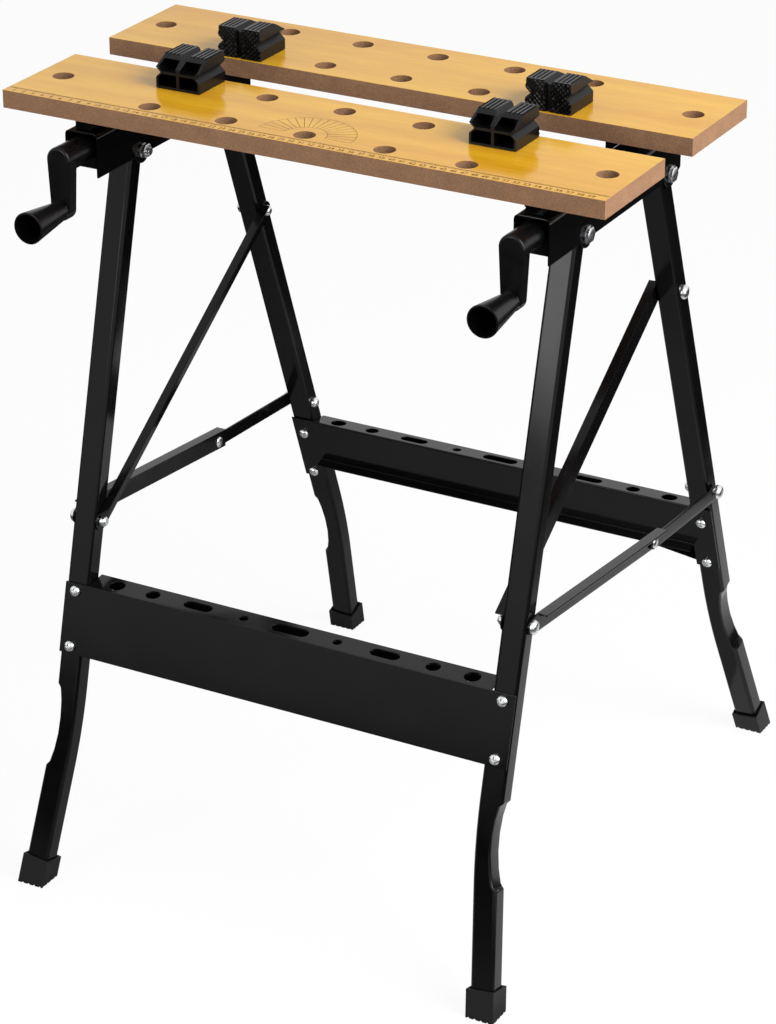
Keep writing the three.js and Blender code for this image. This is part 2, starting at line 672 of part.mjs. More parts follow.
// Tool tray: plate over both legs, a flange bent back between them with tool holes and its rear edge bent
// down, and ears and a forward lip on the rear one. Local frame as for the legs.
function tray({ bolts, topEdge, tilt, flangeTilt, plateShort, lip }) {
  const faceY = -LEG_DEPTH / 2 - FIT;
  const top = -(bolts[0] - topEdge);
  const bottom = -(bolts[1] + TRAY_EDGE);
  const between = LEG_INNER_X - 2 * FIT;
  const low = bottom + plateShort;
  const rise = [[-between, bottom], [-between, low], [between, low], [between, bottom]];
  const plateShape = outline([
    [-LEG_OUTER_X, bottom], ...(plateShort > 0 ? rise : []), [LEG_OUTER_X, bottom],
    [LEG_OUTER_X, top], [-LEG_OUTER_X, top],
  ]);
  for (const end of [-1, 1]) {
    for (const s of bolts) {
      plateShape.holes.push(circleHole(end * SIDE_X, -s, TRAY_BOLT_DIA / 2 + BORE_FIT));
    }
  }
  const plate = extrudeY(plateShape, faceY - SHEET, faceY);
  const flangeShape = rectangle(-between, between, 0, TRAY_FLANGE);
  for (const { place, length, width } of TOOL_HOLES) {
    for (const x of new Set([-place * between, place * between])) {
      flangeShape.holes.push(slotHole(x, TRAY_FLANGE / 2, length, width));
    }
  }
  const bend = THREE.MathUtils.degToRad(flangeTilt) - tilt;
  const pieces = [plate];
  for (const sheet of [
    extrudeZ(flangeShape, -SHEET, 0, ARC_COARSE),
    block(-between, between, TRAY_FLANGE - SHEET, TRAY_FLANGE, -TRAY_BACK_LIP, -SHEET / 2),
  ]) {
    pieces.push(sheet.rotateX(bend).translate(0, faceY - SHEET, top));
  }
  if (lip > 0) {
    pieces.push(block(-between, between, faceY - SHEET - lip, faceY - SHEET / 2, low, low + SHEET));
  }
  return join(...pieces);
}

// Angle-section strut on the inner faces of the legs, its top edge bent inwards.
// Local frame: origin on its lower pivot, +Y along it.
function strut(length) {
  const half = STRUT_WIDTH / 2;
  const web = new THREE.Shape();
  web.absarc(0, 0, half, Math.PI / 2, 3 * Math.PI / 2, false);
  web.absarc(length, 0, half, -Math.PI / 2, Math.PI / 2, false);
  web.closePath();
  for (const y of [0, length]) web.holes.push(circleHole(y, 0, LINK_BOLT_DIA / 2 + BORE_FIT));
  const flange = block(STRUT_X - STRUT_FLANGE, STRUT_X, 0, length, half - SHEET, half);
  return join(extrudeX(web, STRUT_X - SHEET, STRUT_X), flange);
}

// Front brace link: angle section whose top flange stops the rear link just past straight
function braceFront(length) {
  const half = BRACE_HALF_HEIGHT;
  const crown = half + LINK_SHEET;
  const plate = new THREE.Shape();
  plate.absarc(0, 0, half, Math.PI / 2, 3 * Math.PI / 2, false);
  plate.lineTo(length + BRACE_OVERLAP, -half);
  plate.lineTo(length + BRACE_OVERLAP, crown);
  plate.lineTo(BRACE_FLANGE_START, crown);
  plate.closePath();
  for (const y of [0, length]) plate.holes.push(circleHole(y, 0, LINK_BOLT_DIA / 2 + BORE_FIT));
  const flange = block(
    BRACE_X, BRACE_X + BRACE_FLANGE, BRACE_FLANGE_START, length + BRACE_OVERLAP, half, crown,
  );
  return join(extrudeX(plate, BRACE_X, BRACE_X + LINK_SHEET), flange);
}

// Rear brace link: flat bar outside the front link, its front end under the front link's flange.
// The knee sags by stopAngle before its top edge meets that flange.
function braceRear(length, stopAngle) {
  const half = BRACE_HALF_HEIGHT - FIT - BRACE_OVERLAP * Math.tan(stopAngle);
  const bar = new THREE.Shape();
  bar.absarc(0, 0, half, Math.PI / 2, 3 * Math.PI / 2, false);
  bar.absarc(length, 0, half, -Math.PI / 2, Math.PI / 2, false);
  bar.closePath();
  for (const y of [0, length]) bar.holes.push(circleHole(y, 0, LINK_BOLT_DIA / 2 + BORE_FIT));
  return extrudeX(bar, BRACE_REAR_X, BRACE_REAR_X + LINK_SHEET);
}

// Fasteners, each along X in its own group's frame
function legPivotBolt() {
  const shoulder = PIVOT_SHOULDER_DIA / 2;
  return boltX({
    nutFrom: RAIL_INNER_X - FIT - NUT_THICK, nutTo: RAIL_INNER_X - FIT, nutRadius: PIVOT_NUT_DIA / 2,
    shankRadius: PIVOT_BOLT_DIA / 2, headFrom: RAIL_OUTER_X + FIT, headRadius: PIVOT_HEAD_DIA / 2,
    collars: [
      [RAIL_INNER_X + RAIL_WALL + FIT, LEG_INNER_X - FIT, shoulder],
      [LEG_OUTER_X + FIT, RAIL_OUTER_X - RAIL_WALL - FIT, shoulder],
    ],
  });
}

const STRUT_WEB_X = STRUT_X - SHEET;

function linkBolt() {
  return boltX({
    nutFrom: STRUT_WEB_X - FIT - NUT_THICK, nutTo: STRUT_WEB_X - FIT, nutRadius: LINK_NUT_DIA / 2,
    shankRadius: LINK_BOLT_DIA / 2, headFrom: BRACE_X + LINK_SHEET + FIT, headRadius: LINK_HEAD_DIA / 2,
  });
}

function strutBolt() {
  const radius = LINK_BOLT_DIA / 2;
  return boltX({
    nutFrom: LEG_INNER_X + FIT, nutTo: LEG_INNER_X + 2 * FIT, nutRadius: radius,
    shankRadius: radius, headFrom: LEG_OUTER_X + FIT, headRadius: LINK_HEAD_DIA / 2,
  });
}

function strutPin() {
  const web = STRUT_WEB_X - FIT;
  const head = LINK_NUT_DIA / 2;
  return turnedX([
    [web - NUT_THICK, 0], [web - NUT_THICK, head * CROWN_RADIUS], [web - NUT_THICK / 2, head],
    [web, head], [web, LINK_BOLT_DIA / 2], [STRUT_X, LINK_BOLT_DIA / 2], [STRUT_X, 0],
  ]);
}

function braceBolt() {
  const radius = LINK_BOLT_DIA / 2;
  return boltX({
    nutFrom: LEG_OUTER_X + FIT, nutTo: BRACE_REAR_X - FIT, nutRadius: LINK_NUT_DIA / 2,
    shankRadius: radius, headFrom: BRACE_REAR_X + LINK_SHEET + FIT, headRadius: LINK_HEAD_DIA / 2,
  });
}

function braceNut() {
  const radius = LINK_BOLT_DIA / 2;
  const face = LEG_INNER_X - FIT;
  return turnedX([
    [face - NUT_THICK, 0], [face - NUT_THICK, LINK_NUT_DIA / 2], [face, LINK_NUT_DIA / 2],
    [face, radius], [LEG_OUTER_X - FIT, radius], [LEG_OUTER_X - FIT, 0],
  ]);
}

function braceRivet() {
  const radius = LINK_BOLT_DIA / 2;
  const head = LINK_NUT_DIA / 2;
  const inner = BRACE_X - FIT;
  const outer = BRACE_REAR_X + LINK_SHEET + FIT;
  return turnedX([
    [inner - LINK_SHEET, 0], [inner - LINK_SHEET, head * CROWN_RADIUS], [inner, head], [inner, radius],
    [outer, radius], [outer, head], [outer + LINK_SHEET, head * CROWN_RADIUS], [outer + LINK_SHEET, 0],
  ]);
}

function trayBolt() {
  const front = -LEG_DEPTH / 2 - SHEET - 2 * FIT;
  const rear = LEG_DEPTH / 2 + FIT;
  const head = TRAY_HEAD_DIA / 2;
  return turnedY([
    [front - HEAD_HEIGHT, 0], [front - HEAD_HEIGHT * HEAD_CROWN, head * CROWN_RADIUS],
    [front - HEAD_HEIGHT * HEAD_RIM, head],
    [front, head], [front, TRAY_BOLT_DIA / 2], [rear, TRAY_BOLT_DIA / 2], [rear, LINK_NUT_DIA / 2],
    [rear + NUT_THICK, LINK_NUT_DIA / 2], [rear + NUT_THICK, 0],
  ]);
}

// Assembly
const workbench = new THREE.Group();

function place(group, name, geometry, material, [x, y, z] = [0, 0, 0]) {
  const mesh = new THREE.Mesh(geometry, material);
  mesh.name = name;
  mesh.position.set(x, y, z);
  group.add(mesh);
  return mesh;
}

function turnedGroup(parent, y, z, angle) {
  const group = new THREE.Group();
  group.position.set(0, y, z);
  group.rotation.x = angle;
  parent.add(group);
  return group;
}

// Points of the linkage in the side view, as (y, z)
const onLeg = (pivotY, side, lean, s) => new THREE.Vector2(
  pivotY + side * s * Math.sin(lean), PIVOT_Z - s * Math.cos(lean),
);
const linkPoint = onLeg(FRONT_PIVOT_Y, -1, FRONT_LEAN, FRONT_LINK_OFFSET);
const strutPoint = onLeg(REAR_PIVOT_Y, 1, REAR_LEAN, REAR_STRUT_OFFSET);
const bracePoint = onLeg(REAR_PIVOT_Y, 1, REAR_LEAN, REAR_BRACE_OFFSET);
const braceLine = bracePoint.clone().sub(linkPoint).normalize();
const kneePoint = linkPoint.clone()
  .addScaledVector(braceLine, BRACE_FRONT_LENGTH)
  .add(new THREE.Vector2(braceLine.y, -braceLine.x).multiplyScalar(BRACE_SAG));

place(workbench, "front_jaw", jawBoard(FRONT_BOARD_Y), BOARD_FACE);
place(workbench, "rear_jaw", jawBoard(REAR_BOARD_Y), BOARD_FACE);

// The tubes and trays lean with their frames: front legs towards -Y, rear legs towards +Y
const FRONT_TILT = -FRONT_LEAN;
const REAR_TILT = REAR_LEAN;
const trays = [
  {
    name: "front_tray", pivotY: FRONT_PIVOT_Y, tilt: FRONT_TILT, flangeTilt: FRONT_FLANGE_TILT,
    bolts: FRONT_TRAY_BOLTS, topEdge: TRAY_EDGE, plateShort: 0, lip: 0,
  },
  {
    name: "rear_tray", pivotY: REAR_PIVOT_Y, tilt: REAR_TILT, flangeTilt: REAR_FLANGE_TILT,
    bolts: REAR_TRAY_BOLTS, topEdge: REAR_TRAY_TOP_EDGE, plateShort: REAR_PLATE_SHORT, lip: REAR_LIP,
  },
];
for (const piece of trays) {
  place(turnedGroup(workbench, piece.pivotY, PIVOT_Z, piece.tilt), piece.name, tray(piece), BLACK_PAINT);
}

for (const [side, mirror] of [["left", -1], ["right", 1]]) {
  const half = new THREE.Group();
  half.scale.x = mirror;
  workbench.add(half);

  place(half, `rail_${side}`, rail(), BLACK_PAINT);
  place(half, `rear_jaw_riser_${side}`, rearRiser(), BLACK_PAINT);
  place(half, `jaw_carriage_${side}`, jawCarriage(), BLACK_PAINT);
  place(half, `screw_bush_${side}`, screwBush(), BLACK_PLASTIC);
  place(half, `vice_screw_${side}`, viceScrew(), STEEL);
  place(half, `crank_${side}`, crank(), BLACK_PLASTIC);

  // Dogs stand in the end holes of the inner rows, gripping faces towards the gap
  const dogX = HOLE_PITCH * (HOLES_PER_ROW - 1) / 2;
  const rearDog = place(half, `rear_dog_${side}`, dog(), BLACK_PLASTIC);
  rearDog.position.set(dogX, REAR_BOARD_Y - HOLE_ROW_OFFSET, TOP_HEIGHT + FIT);
  const frontDog = place(half, `front_dog_${side}`, dog(), BLACK_PLASTIC);
  frontDog.position.set(dogX, FRONT_BOARD_Y + HOLE_ROW_OFFSET, TOP_HEIGHT + FIT);
  frontDog.rotation.z = Math.PI;

  const frontFrame = turnedGroup(half, FRONT_PIVOT_Y, PIVOT_Z, FRONT_TILT);
  const frontHoles = [[0, PIVOT_BOLT_DIA], [FRONT_LINK_OFFSET, LINK_BOLT_DIA]];
  const frontLeg = drilledLeg(FRONT_LEAN, FRONT_TILT, frontHoles, FRONT_TRAY_BOLTS);
  place(frontFrame, `front_leg_${side}`, frontLeg, BLACK_PAINT);
  place(half, `front_foot_${side}`, boot(FRONT_LEAN, -1), RUBBER);
  place(frontFrame, `link_bolt_${side}`, linkBolt(), ZINC, [0, 0, -FRONT_LINK_OFFSET]);

  const rearFrame = turnedGroup(half, REAR_PIVOT_Y, PIVOT_Z, REAR_TILT);
  const rearHoles = [
    [0, PIVOT_BOLT_DIA], [REAR_STRUT_OFFSET, LINK_BOLT_DIA], [REAR_BRACE_OFFSET, LINK_BOLT_DIA],
  ];
  const rearLeg = drilledLeg(REAR_LEAN, REAR_TILT, rearHoles, REAR_TRAY_BOLTS);
  place(rearFrame, `rear_leg_${side}`, rearLeg, BLACK_PAINT);
  place(half, `rear_foot_${side}`, boot(REAR_LEAN, 1), RUBBER);
  place(rearFrame, `strut_bolt_${side}`, strutBolt(), ZINC, [0, 0, -REAR_STRUT_OFFSET]);
  place(rearFrame, `brace_nut_${side}`, braceNut(), ZINC, [0, 0, -REAR_BRACE_OFFSET]);

  for (const [row, key] of ["upper", "lower"].entries()) {
    const [front, rear] = [FRONT_TRAY_BOLTS[row], REAR_TRAY_BOLTS[row]];
    place(frontFrame, `front_tray_bolt_${key}_${side}`, trayBolt(), ZINC, [SIDE_X, 0, -front]);
    place(rearFrame, `rear_tray_bolt_${key}_${side}`, trayBolt(), ZINC, [SIDE_X, 0, -rear]);
  }
  place(half, `front_pivot_bolt_${side}`, legPivotBolt(), ZINC, [0, FRONT_PIVOT_Y, PIVOT_Z]);
  place(half, `rear_pivot_bolt_${side}`, legPivotBolt(), ZINC, [0, REAR_PIVOT_Y, PIVOT_Z]);

  const strutRun = strutPoint.clone().sub(linkPoint);
  const strutGroup = turnedGroup(half, linkPoint.x, linkPoint.y, strutRun.angle());
  place(strutGroup, `strut_${side}`, strut(strutRun.length()), BLACK_PAINT);
  place(strutGroup, `strut_pin_${side}`, strutPin(), ZINC, [0, strutRun.length(), 0]);

  const frontRun = kneePoint.clone().sub(linkPoint);
  const frontLink = turnedGroup(half, linkPoint.x, linkPoint.y, frontRun.angle());
  place(frontLink, `brace_front_${side}`, braceFront(frontRun.length()), BLACK_PAINT);
  place(frontLink, `brace_rivet_${side}`, braceRivet(), ZINC, [0, frontRun.length(), 0]);

  const rearRun = bracePoint.clone().sub(kneePoint);
  const rearLink = turnedGroup(half, kneePoint.x, kneePoint.y, rearRun.angle());
  const stopAngle = frontRun.angleTo(rearRun);
  place(rearLink, `brace_rear_${side}`, braceRear(rearRun.length(), stopAngle), BLACK_PAINT);
  place(rearLink, `brace_bolt_${side}`, braceBolt(), ZINC, [0, rearRun.length(), 0]);
}

export default workbench;
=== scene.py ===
"""Folding workbench with a two-board vice top: its finished looks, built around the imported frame."""
import json
import math

import bpy
from mathutils import Matrix, Vector

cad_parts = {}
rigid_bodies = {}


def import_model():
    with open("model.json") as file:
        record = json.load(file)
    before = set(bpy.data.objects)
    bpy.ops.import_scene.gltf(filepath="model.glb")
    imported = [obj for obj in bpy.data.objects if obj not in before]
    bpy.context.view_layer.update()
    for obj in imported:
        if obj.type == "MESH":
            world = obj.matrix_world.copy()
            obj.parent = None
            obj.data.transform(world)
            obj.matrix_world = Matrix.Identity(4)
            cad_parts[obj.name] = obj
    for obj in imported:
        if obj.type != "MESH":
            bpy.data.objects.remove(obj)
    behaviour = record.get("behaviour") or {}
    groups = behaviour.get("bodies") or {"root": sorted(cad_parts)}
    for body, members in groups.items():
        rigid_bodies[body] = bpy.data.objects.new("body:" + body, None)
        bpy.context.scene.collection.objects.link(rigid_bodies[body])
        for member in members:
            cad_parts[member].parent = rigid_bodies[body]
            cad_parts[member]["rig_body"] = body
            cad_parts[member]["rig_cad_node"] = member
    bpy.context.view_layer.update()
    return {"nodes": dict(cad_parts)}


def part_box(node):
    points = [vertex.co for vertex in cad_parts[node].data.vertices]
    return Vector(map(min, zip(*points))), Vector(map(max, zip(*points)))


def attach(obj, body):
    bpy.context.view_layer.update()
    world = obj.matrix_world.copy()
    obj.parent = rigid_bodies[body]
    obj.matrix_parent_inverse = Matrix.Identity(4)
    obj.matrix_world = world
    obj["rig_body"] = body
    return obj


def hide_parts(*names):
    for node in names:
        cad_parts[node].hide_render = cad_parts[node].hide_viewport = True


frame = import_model()


# Side rails: channels pressed from steel sheet and dipped in glossy black enamel, one under each end of
# the boards. The leg bolts pass through their low ears, and the moving jaw's carriage runs in the slot
# on top.
MM = 0.001
SHARP, FLAT = math.radians(35), math.radians(0.4)
WELD = 0.002
RAIL_EDGE = 0.7
SIDES = {"left": -1, "right": 1}
# Most of a noise lies in this part of its range. A Mix node's sockets for colours go by number.
NOISE_MIDDLE = {"From Min": 0.3, "From Max": 0.7}
SHARE, DARK, PALE, MIXED = 0, 6, 7, 2


def only(*pieces):
    """Leaves these pieces selected, the first one active."""
    bpy.ops.object.select_all(action="DESELECT")
    for piece in pieces:
        piece.select_set(True)
    bpy.context.view_layer.objects.active = pieces[0]
    return pieces[0]


def worked(piece, kind, **settings):
    """Adds a modifier and applies it."""
    modifier = piece.modifiers.new(kind.lower(), kind)
    for name, value in settings.items():
        setattr(modifier, name, value)
    only(piece)
    bpy.ops.object.modifier_apply(modifier=modifier.name)
    return piece


def smoothed(piece):
    """Smooth shading up to a sharp edge, with the large faces kept flat."""
    only(piece)
    bpy.ops.object.shade_smooth_by_angle(angle=SHARP)
    return worked(piece, "WEIGHTED_NORMAL", keep_sharp=True, weight=100)


def rounded(piece, edge, segments=2, clamp=False):
    """Rounds a piece's sharp edges, as bending, moulding or deburring leaves them."""
    worked(
        piece, "BEVEL", width=edge * MM, segments=segments, limit_method="ANGLE", angle_limit=SHARP,
        use_clamp_overlap=clamp,
    )
    return smoothed(piece)


def merged_copy(node):
    """A copy of a CAD node with its loose triangles joined into plain faces."""
    only(frame["nodes"][node])
    bpy.ops.object.duplicate()
    piece = bpy.context.object
    piece.name = f"{node}_made"
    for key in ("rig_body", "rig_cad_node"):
        del piece[key]
    bpy.ops.object.parent_clear(type="CLEAR_KEEP_TRANSFORM")
    bpy.ops.mesh.customdata_custom_splitnormals_clear()
    bpy.ops.object.mode_set(mode="EDIT")
    bpy.ops.mesh.select_all(action="SELECT")
    bpy.ops.mesh.remove_doubles(threshold=WELD * MM)
    bpy.ops.mesh.dissolve_limited(angle_limit=FLAT)
    bpy.ops.object.mode_set(mode="OBJECT")
    return piece


def stands_for(piece, node, finish):
    """Gives a piece its finish and lets it ride in place of a CAD node."""
    piece.data.materials.clear()
    piece.data.materials.append(finish)
    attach(piece, frame["nodes"][node]["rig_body"])
    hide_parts(node)
    return piece


def linear(code):
    """An sRGB hex colour as linear RGBA."""
    parts = [int(code[i:i + 2], 16) / 255 for i in (1, 3, 5)]
    return [c / 12.92 if c <= 0.04045 else ((c + 0.055) / 1.055) ** 2.4 for c in parts] + [1]


def plug(tree, node, sockets):
    """Sets or links a node's sockets."""
    for name, value in sockets.items():
        if isinstance(value, bpy.types.NodeSocket):
            tree.links.new(value, node.inputs[name])
        else:
            node.inputs[name].default_value = value


def add(tree, kind, sockets=None, **settings):
    """Adds a node with its settings, and sets or links its sockets."""
    node = tree.nodes.new(kind)
    for name, value in settings.items():
        setattr(node, name, value)
    plug(tree, node, sockets or {})
    return node


def blank(name):
    """A new material with its node tree, Principled shader and Object coordinates."""
    material = bpy.data.materials.new(name)
    material.use_nodes = True
    tree = material.node_tree
    place = add(tree, "ShaderNodeTexCoord").outputs["Object"]
    return material, tree, tree.nodes["Principled BSDF"], place


def black_enamel():
    """Stoved black enamel on steel: a wet gloss with faint orange peel, hazed in places by handling."""
    material, tree, shader, place = blank("stoved_black_enamel")
    haze = add(tree, "ShaderNodeTexNoise", {
        "Vector": place, "Scale": 1 / (45 * MM), "Detail": 4}).outputs["Fac"]
    black = add(tree, "ShaderNodeMix", {
        SHARE: haze, DARK: linear("#050506"), PALE: linear("#0a0a0b")}, data_type="RGBA")
    gloss = add(tree, "ShaderNodeMapRange", {
        "Value": haze, **NOISE_MIDDLE, "To Min": 0.1, "To Max": 0.17})
    peel = add(tree, "ShaderNodeTexNoise", {
        "Vector": place, "Scale": 1 / (3 * MM), "Detail": 2}).outputs["Fac"]
    bump = add(tree, "ShaderNodeBump", {"Height": peel, "Strength": 0.1, "Distance": 0.05 * MM})
    plug(tree, shader, {
        "Base Color": black.outputs[MIXED], "Roughness": gloss.outputs["Result"],
        "Normal": bump.outputs["Normal"], "Specular IOR Level": 0.2})
    return material


ENAMEL = black_enamel()


def enamelled(node, edge):
    """A pressed or welded steel piece with its edges rounded, in black enamel."""
    stands_for(rounded(merged_copy(node), edge), node, ENAMEL)


for side in SIDES:
    enamelled(f"rail_{side}", RAIL_EDGE)


# Legs: four oblong steel tubes, pressed flat at the crimp below the trays and bent outwards there, then
# enamelled. Each one hangs on a bolt through the ears of its rail.
TUBE_EDGE = 0.8
ROWS = ("front", "rear")
for row in ROWS:
    for side in SIDES:
        enamelled(f"{row}_leg_{side}", TUBE_EDGE)


# Boots: thick cups with a treaded sole, moulded in black rubber and pushed over the cut ends of the
# legs. The sole lies flat on the floor, and the rim stands square to its leaning leg.
BOOT_EDGE = 0.6
TREAD_PITCH, TREAD_RADIUS = 6.5, 1.0
GROOVE_LENGTH = 100


def boot_rubber():
    """Moulded rubber: dull dark grey with a fine matt skin, drawn at a millimetre so that it shows."""
    material, tree, shader, place = blank("moulded_rubber")
    skin = add(tree, "ShaderNodeTexNoise", {
        "Vector": place, "Scale": 1 / (1.2 * MM), "Detail": 3}).outputs["Fac"]
    grey = add(tree, "ShaderNodeMix", {
        SHARE: skin, DARK: linear("#080809"), PALE: linear("#121213")}, data_type="RGBA")
    bump = add(tree, "ShaderNodeBump", {"Height": skin, "Strength": 0.3, "Distance": 0.1 * MM})
    plug(tree, shader, {
        "Base Color": grey.outputs[MIXED], "Normal": bump.outputs["Normal"],
        "Roughness": 0.55, "Specular IOR Level": 0.22})
    return material


def cut(piece, tools, keep="DIFFERENCE"):
    """Joins the tools, cuts the piece with them and takes them away."""
    tool = only(*tools)
    if len(tools) > 1:
        bpy.ops.object.join()
    worked(piece, "BOOLEAN", object=tool, operation=keep, solver="EXACT")
    bpy.data.objects.remove(tool)
    bpy.ops.object.mode_set(mode="EDIT")
    bpy.ops.mesh.select_all(action="SELECT")
    bpy.ops.mesh.remove_doubles(threshold=WELD * MM)
    bpy.ops.mesh.dissolve_degenerate(threshold=WELD * MM)
    bpy.ops.object.mode_set(mode="OBJECT")
    return piece


def squared_rim(boot, low, high):
    """Slides the rim along the boot's sides until it stands square to the leg."""
    rim = [corner for corner in boot.data.vertices if corner.co.z > high[2] - MM]
    sole = [corner for corner in boot.data.vertices if corner.co.z < low[2] + MM]
    centre, foot = (sum((corner.co for corner in ring), Vector()) / len(ring) for ring in (rim, sole))
    along = (centre - foot).normalized()
    for corner in rim:
        corner.co -= along * along.dot(corner.co - centre)
    return boot


def treaded(piece, low, high):
    """Cuts round grooves across the sole both ways."""
    middle = [(a + b) / 2 for a, b in zip(low, high)]
    for axis, turn in ((0, (math.pi / 2, 0, 0)), (1, (0, math.pi / 2, 0))):
        count = int((high[axis] - low[axis]) / (TREAD_PITCH * MM))
        tools = []
        for i in range(count):
            place = [middle[0], middle[1], low[2]]
            place[axis] += (i - (count - 1) / 2) * TREAD_PITCH * MM
            bpy.ops.mesh.primitive_cylinder_add(
                vertices=16, radius=TREAD_RADIUS * MM, depth=GROOVE_LENGTH * MM, location=place,
                rotation=turn)
            tools.append(bpy.context.object)
        cut(piece, tools)
    return piece


RUBBER = boot_rubber()
for row in ROWS:
    for side in SIDES:
        node = f"{row}_foot_{side}"
        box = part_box(node)
        boot = rounded(treaded(squared_rim(merged_copy(node), *box), *box), BOOT_EDGE, clamp=True)
        stands_for(boot, node, RUBBER)


# Tool trays: sheet steel bent into a front plate and a top flange with holes for tools, enamelled, and
# bolted across the legs. They tie each pair of legs into one frame.
SHEET_EDGE = 0.5
for row in ROWS:
    enamelled(f"{row}_tray", SHEET_EDGE)


# Struts and braces: pressed steel straps, enamelled. The struts run from the rear legs to the front
# legs, and each brace is two links riveted at a knee that goes past straight to hold the legs open.
for side in SIDES:
    enamelled(f"strut_{side}", SHEET_EDGE)
    for row in ROWS:
        enamelled(f"brace_{row}_{side}", SHEET_EDGE)


# Fasteners: zinc-plated bolts, nuts and rivets, cold-headed from wire. Hexagon bolts with washers carry
# the legs, smooth domed ones the struts and braces, and small cross-recessed screws hold the trays.
SIDE_X = 228
PIVOT_SHANK, LINK_SHANK, TRAY_SHANK = 4, 3, 3
HEAD_HEIGHT, NUT_HEIGHT, RIVET_HEIGHT = 4.5, 5.5, 2
LINK_HEAD, LINK_NUT = 7, 5.5
DOME = ((0, 1), (0.3, 1), (0.55, 0.93), (0.75, 0.8), (0.9, 0.58), (0.98, 0.3))
# Seats of heads and nuts, and ends of shanks, outwards along X from the middle of the bench.
RAIL_IN, RAIL_OUT = 210.2, 245.8
LEG_IN, LEG_OUT = 215.7, 240.3
SHOULDERS = ((212.8, LEG_IN), (LEG_OUT, 243.2))
STRUT_IN, FRONT_LINK_OUT, REAR_LINK_OUT = 213.9, 242.9, 245.2
LINK_BOLTS = {
    "link_bolt": (208.4, 243.5), "strut_bolt": (216.3, 241), "strut_pin": (213, LEG_IN),
    "brace_rivet": (239, 246), "brace_bolt": (LEG_OUT, 246), "brace_nut": (212, 239.7),
}
LINK_HEADS = {
    "link_bolt": [(FRONT_LINK_OUT, HEAD_HEIGHT, LINK_HEAD), (STRUT_IN, -NUT_HEIGHT, LINK_NUT)],
    "strut_bolt": [(LEG_OUT, HEAD_HEIGHT, LINK_HEAD)],
    "strut_pin": [(STRUT_IN, -NUT_HEIGHT, LINK_NUT)],
    "brace_rivet": [(REAR_LINK_OUT, RIVET_HEIGHT, LINK_NUT), (LEG_OUT, -RIVET_HEIGHT, LINK_NUT)],
    "brace_bolt": [(REAR_LINK_OUT, HEAD_HEIGHT, LINK_HEAD)],
    "brace_nut": [(LEG_IN, -NUT_HEIGHT, LINK_NUT)],
}
PIVOT_Z = 702.5
PIVOT_Y = {"front": -134, "rear": 41}
FOOT_REACH = {"front": -176, "rear": 269}
# Each tray's screws, by their distance down the leg from its pivot.
TRAY_SCREWS = {"front": {"upper": 426, "lower": 480.7}, "rear": {"upper": 442.6, "lower": 498.3}}


def zinc_plate():
    """Bright zinc plate: silvery metal with a faint blotched bloom."""
    material, tree, shader, place = blank("bright_zinc_plate")
    blotch = add(tree, "ShaderNodeTexNoise", {
        "Vector": place, "Scale": 1 / (3 * MM), "Detail": 3}).outputs["Fac"]
    silver = add(tree, "ShaderNodeMix", {
        SHARE: blotch, DARK: linear("#cdd0d3"), PALE: linear("#eceded")}, data_type="RGBA")
    bloom = add(tree, "ShaderNodeMapRange", {
        "Value": blotch, **NOISE_MIDDLE, "To Min": 0.2, "To Max": 0.34})
    plug(tree, shader, {
        "Base Color": silver.outputs[MIXED], "Roughness": bloom.outputs["Result"], "Metallic": 1})
    return material


def turned(name, profile, sides=40):
    """A piece turned about Z: a disc drawn out through (height, radius) pairs in millimetres."""
    bpy.ops.object.select_all(action="DESELECT")
    start, radius = profile[0]
    bpy.ops.mesh.primitive_circle_add(
        vertices=sides, radius=radius * MM, fill_type="NGON", location=(0, 0, start * MM))
    piece = bpy.context.object
    piece.name = name
    bpy.ops.object.transform_apply(location=True)
    bpy.ops.object.mode_set(mode="EDIT")
    bpy.ops.mesh.select_all(action="SELECT")
    for (before, old), (after, new) in zip(profile, profile[1:]):
        rise = (0, 0, (after - before) * MM)
        bpy.ops.mesh.extrude_region_move(TRANSFORM_OT_translate={"value": rise})
        bpy.ops.transform.resize(value=(new / old, new / old, 1), center_override=(0, 0, after * MM))
    bpy.ops.mesh.select_all(action="SELECT")
    bpy.ops.mesh.normals_make_consistent(inside=False)
    bpy.ops.object.mode_set(mode="OBJECT")
    return smoothed(piece)


def domed(start, height, radius):
    """The profile of a smooth domed head, upwards or, with a height below 0, downwards."""
    return [(start + share * height, size * radius) for share, size in DOME]


def one_piece(first, *parts):
    """Fuses parts into one body."""
    for part in parts:
        cut(first, [part], "UNION")
    return smoothed(first)


def hexagon(name, start, height, radius, chamfer):
    """A hexagon nut or head with its corners turned off."""
    flat, rise = radius - chamfer, chamfer / 2
    end = start + height
    profile = [(start, flat), (start + rise, radius), (end - rise, radius), (end, flat)]
    return turned(name, profile, sides=6)


def copied(piece, name, place):
    """A copy of a modelled piece, with a mesh of its own, moved to its place."""
    only(piece)
    bpy.ops.object.duplicate()
    copy = bpy.context.object
    copy.name = name
    copy.matrix_world = place @ copy.matrix_world
    bpy.ops.object.transform_apply(location=True, rotation=True, scale=True)
    return copy


def across(side, y, z):
    """The place of a bolt that points outwards along X, on one side."""
    turn = Matrix.Rotation(SIDES[side] * math.pi / 2, 4, "Y")
    return Matrix.Translation((0, y, z)) @ turn


def leg_frame(row):
    """The place of a leg: at its pivot bolt, leaning from there to its foot."""
    lean = Matrix.Rotation(math.atan2(FOOT_REACH[row], PIVOT_Z), 4, "X")
    return Matrix.Translation((0, PIVOT_Y[row] * MM, PIVOT_Z * MM)) @ lean


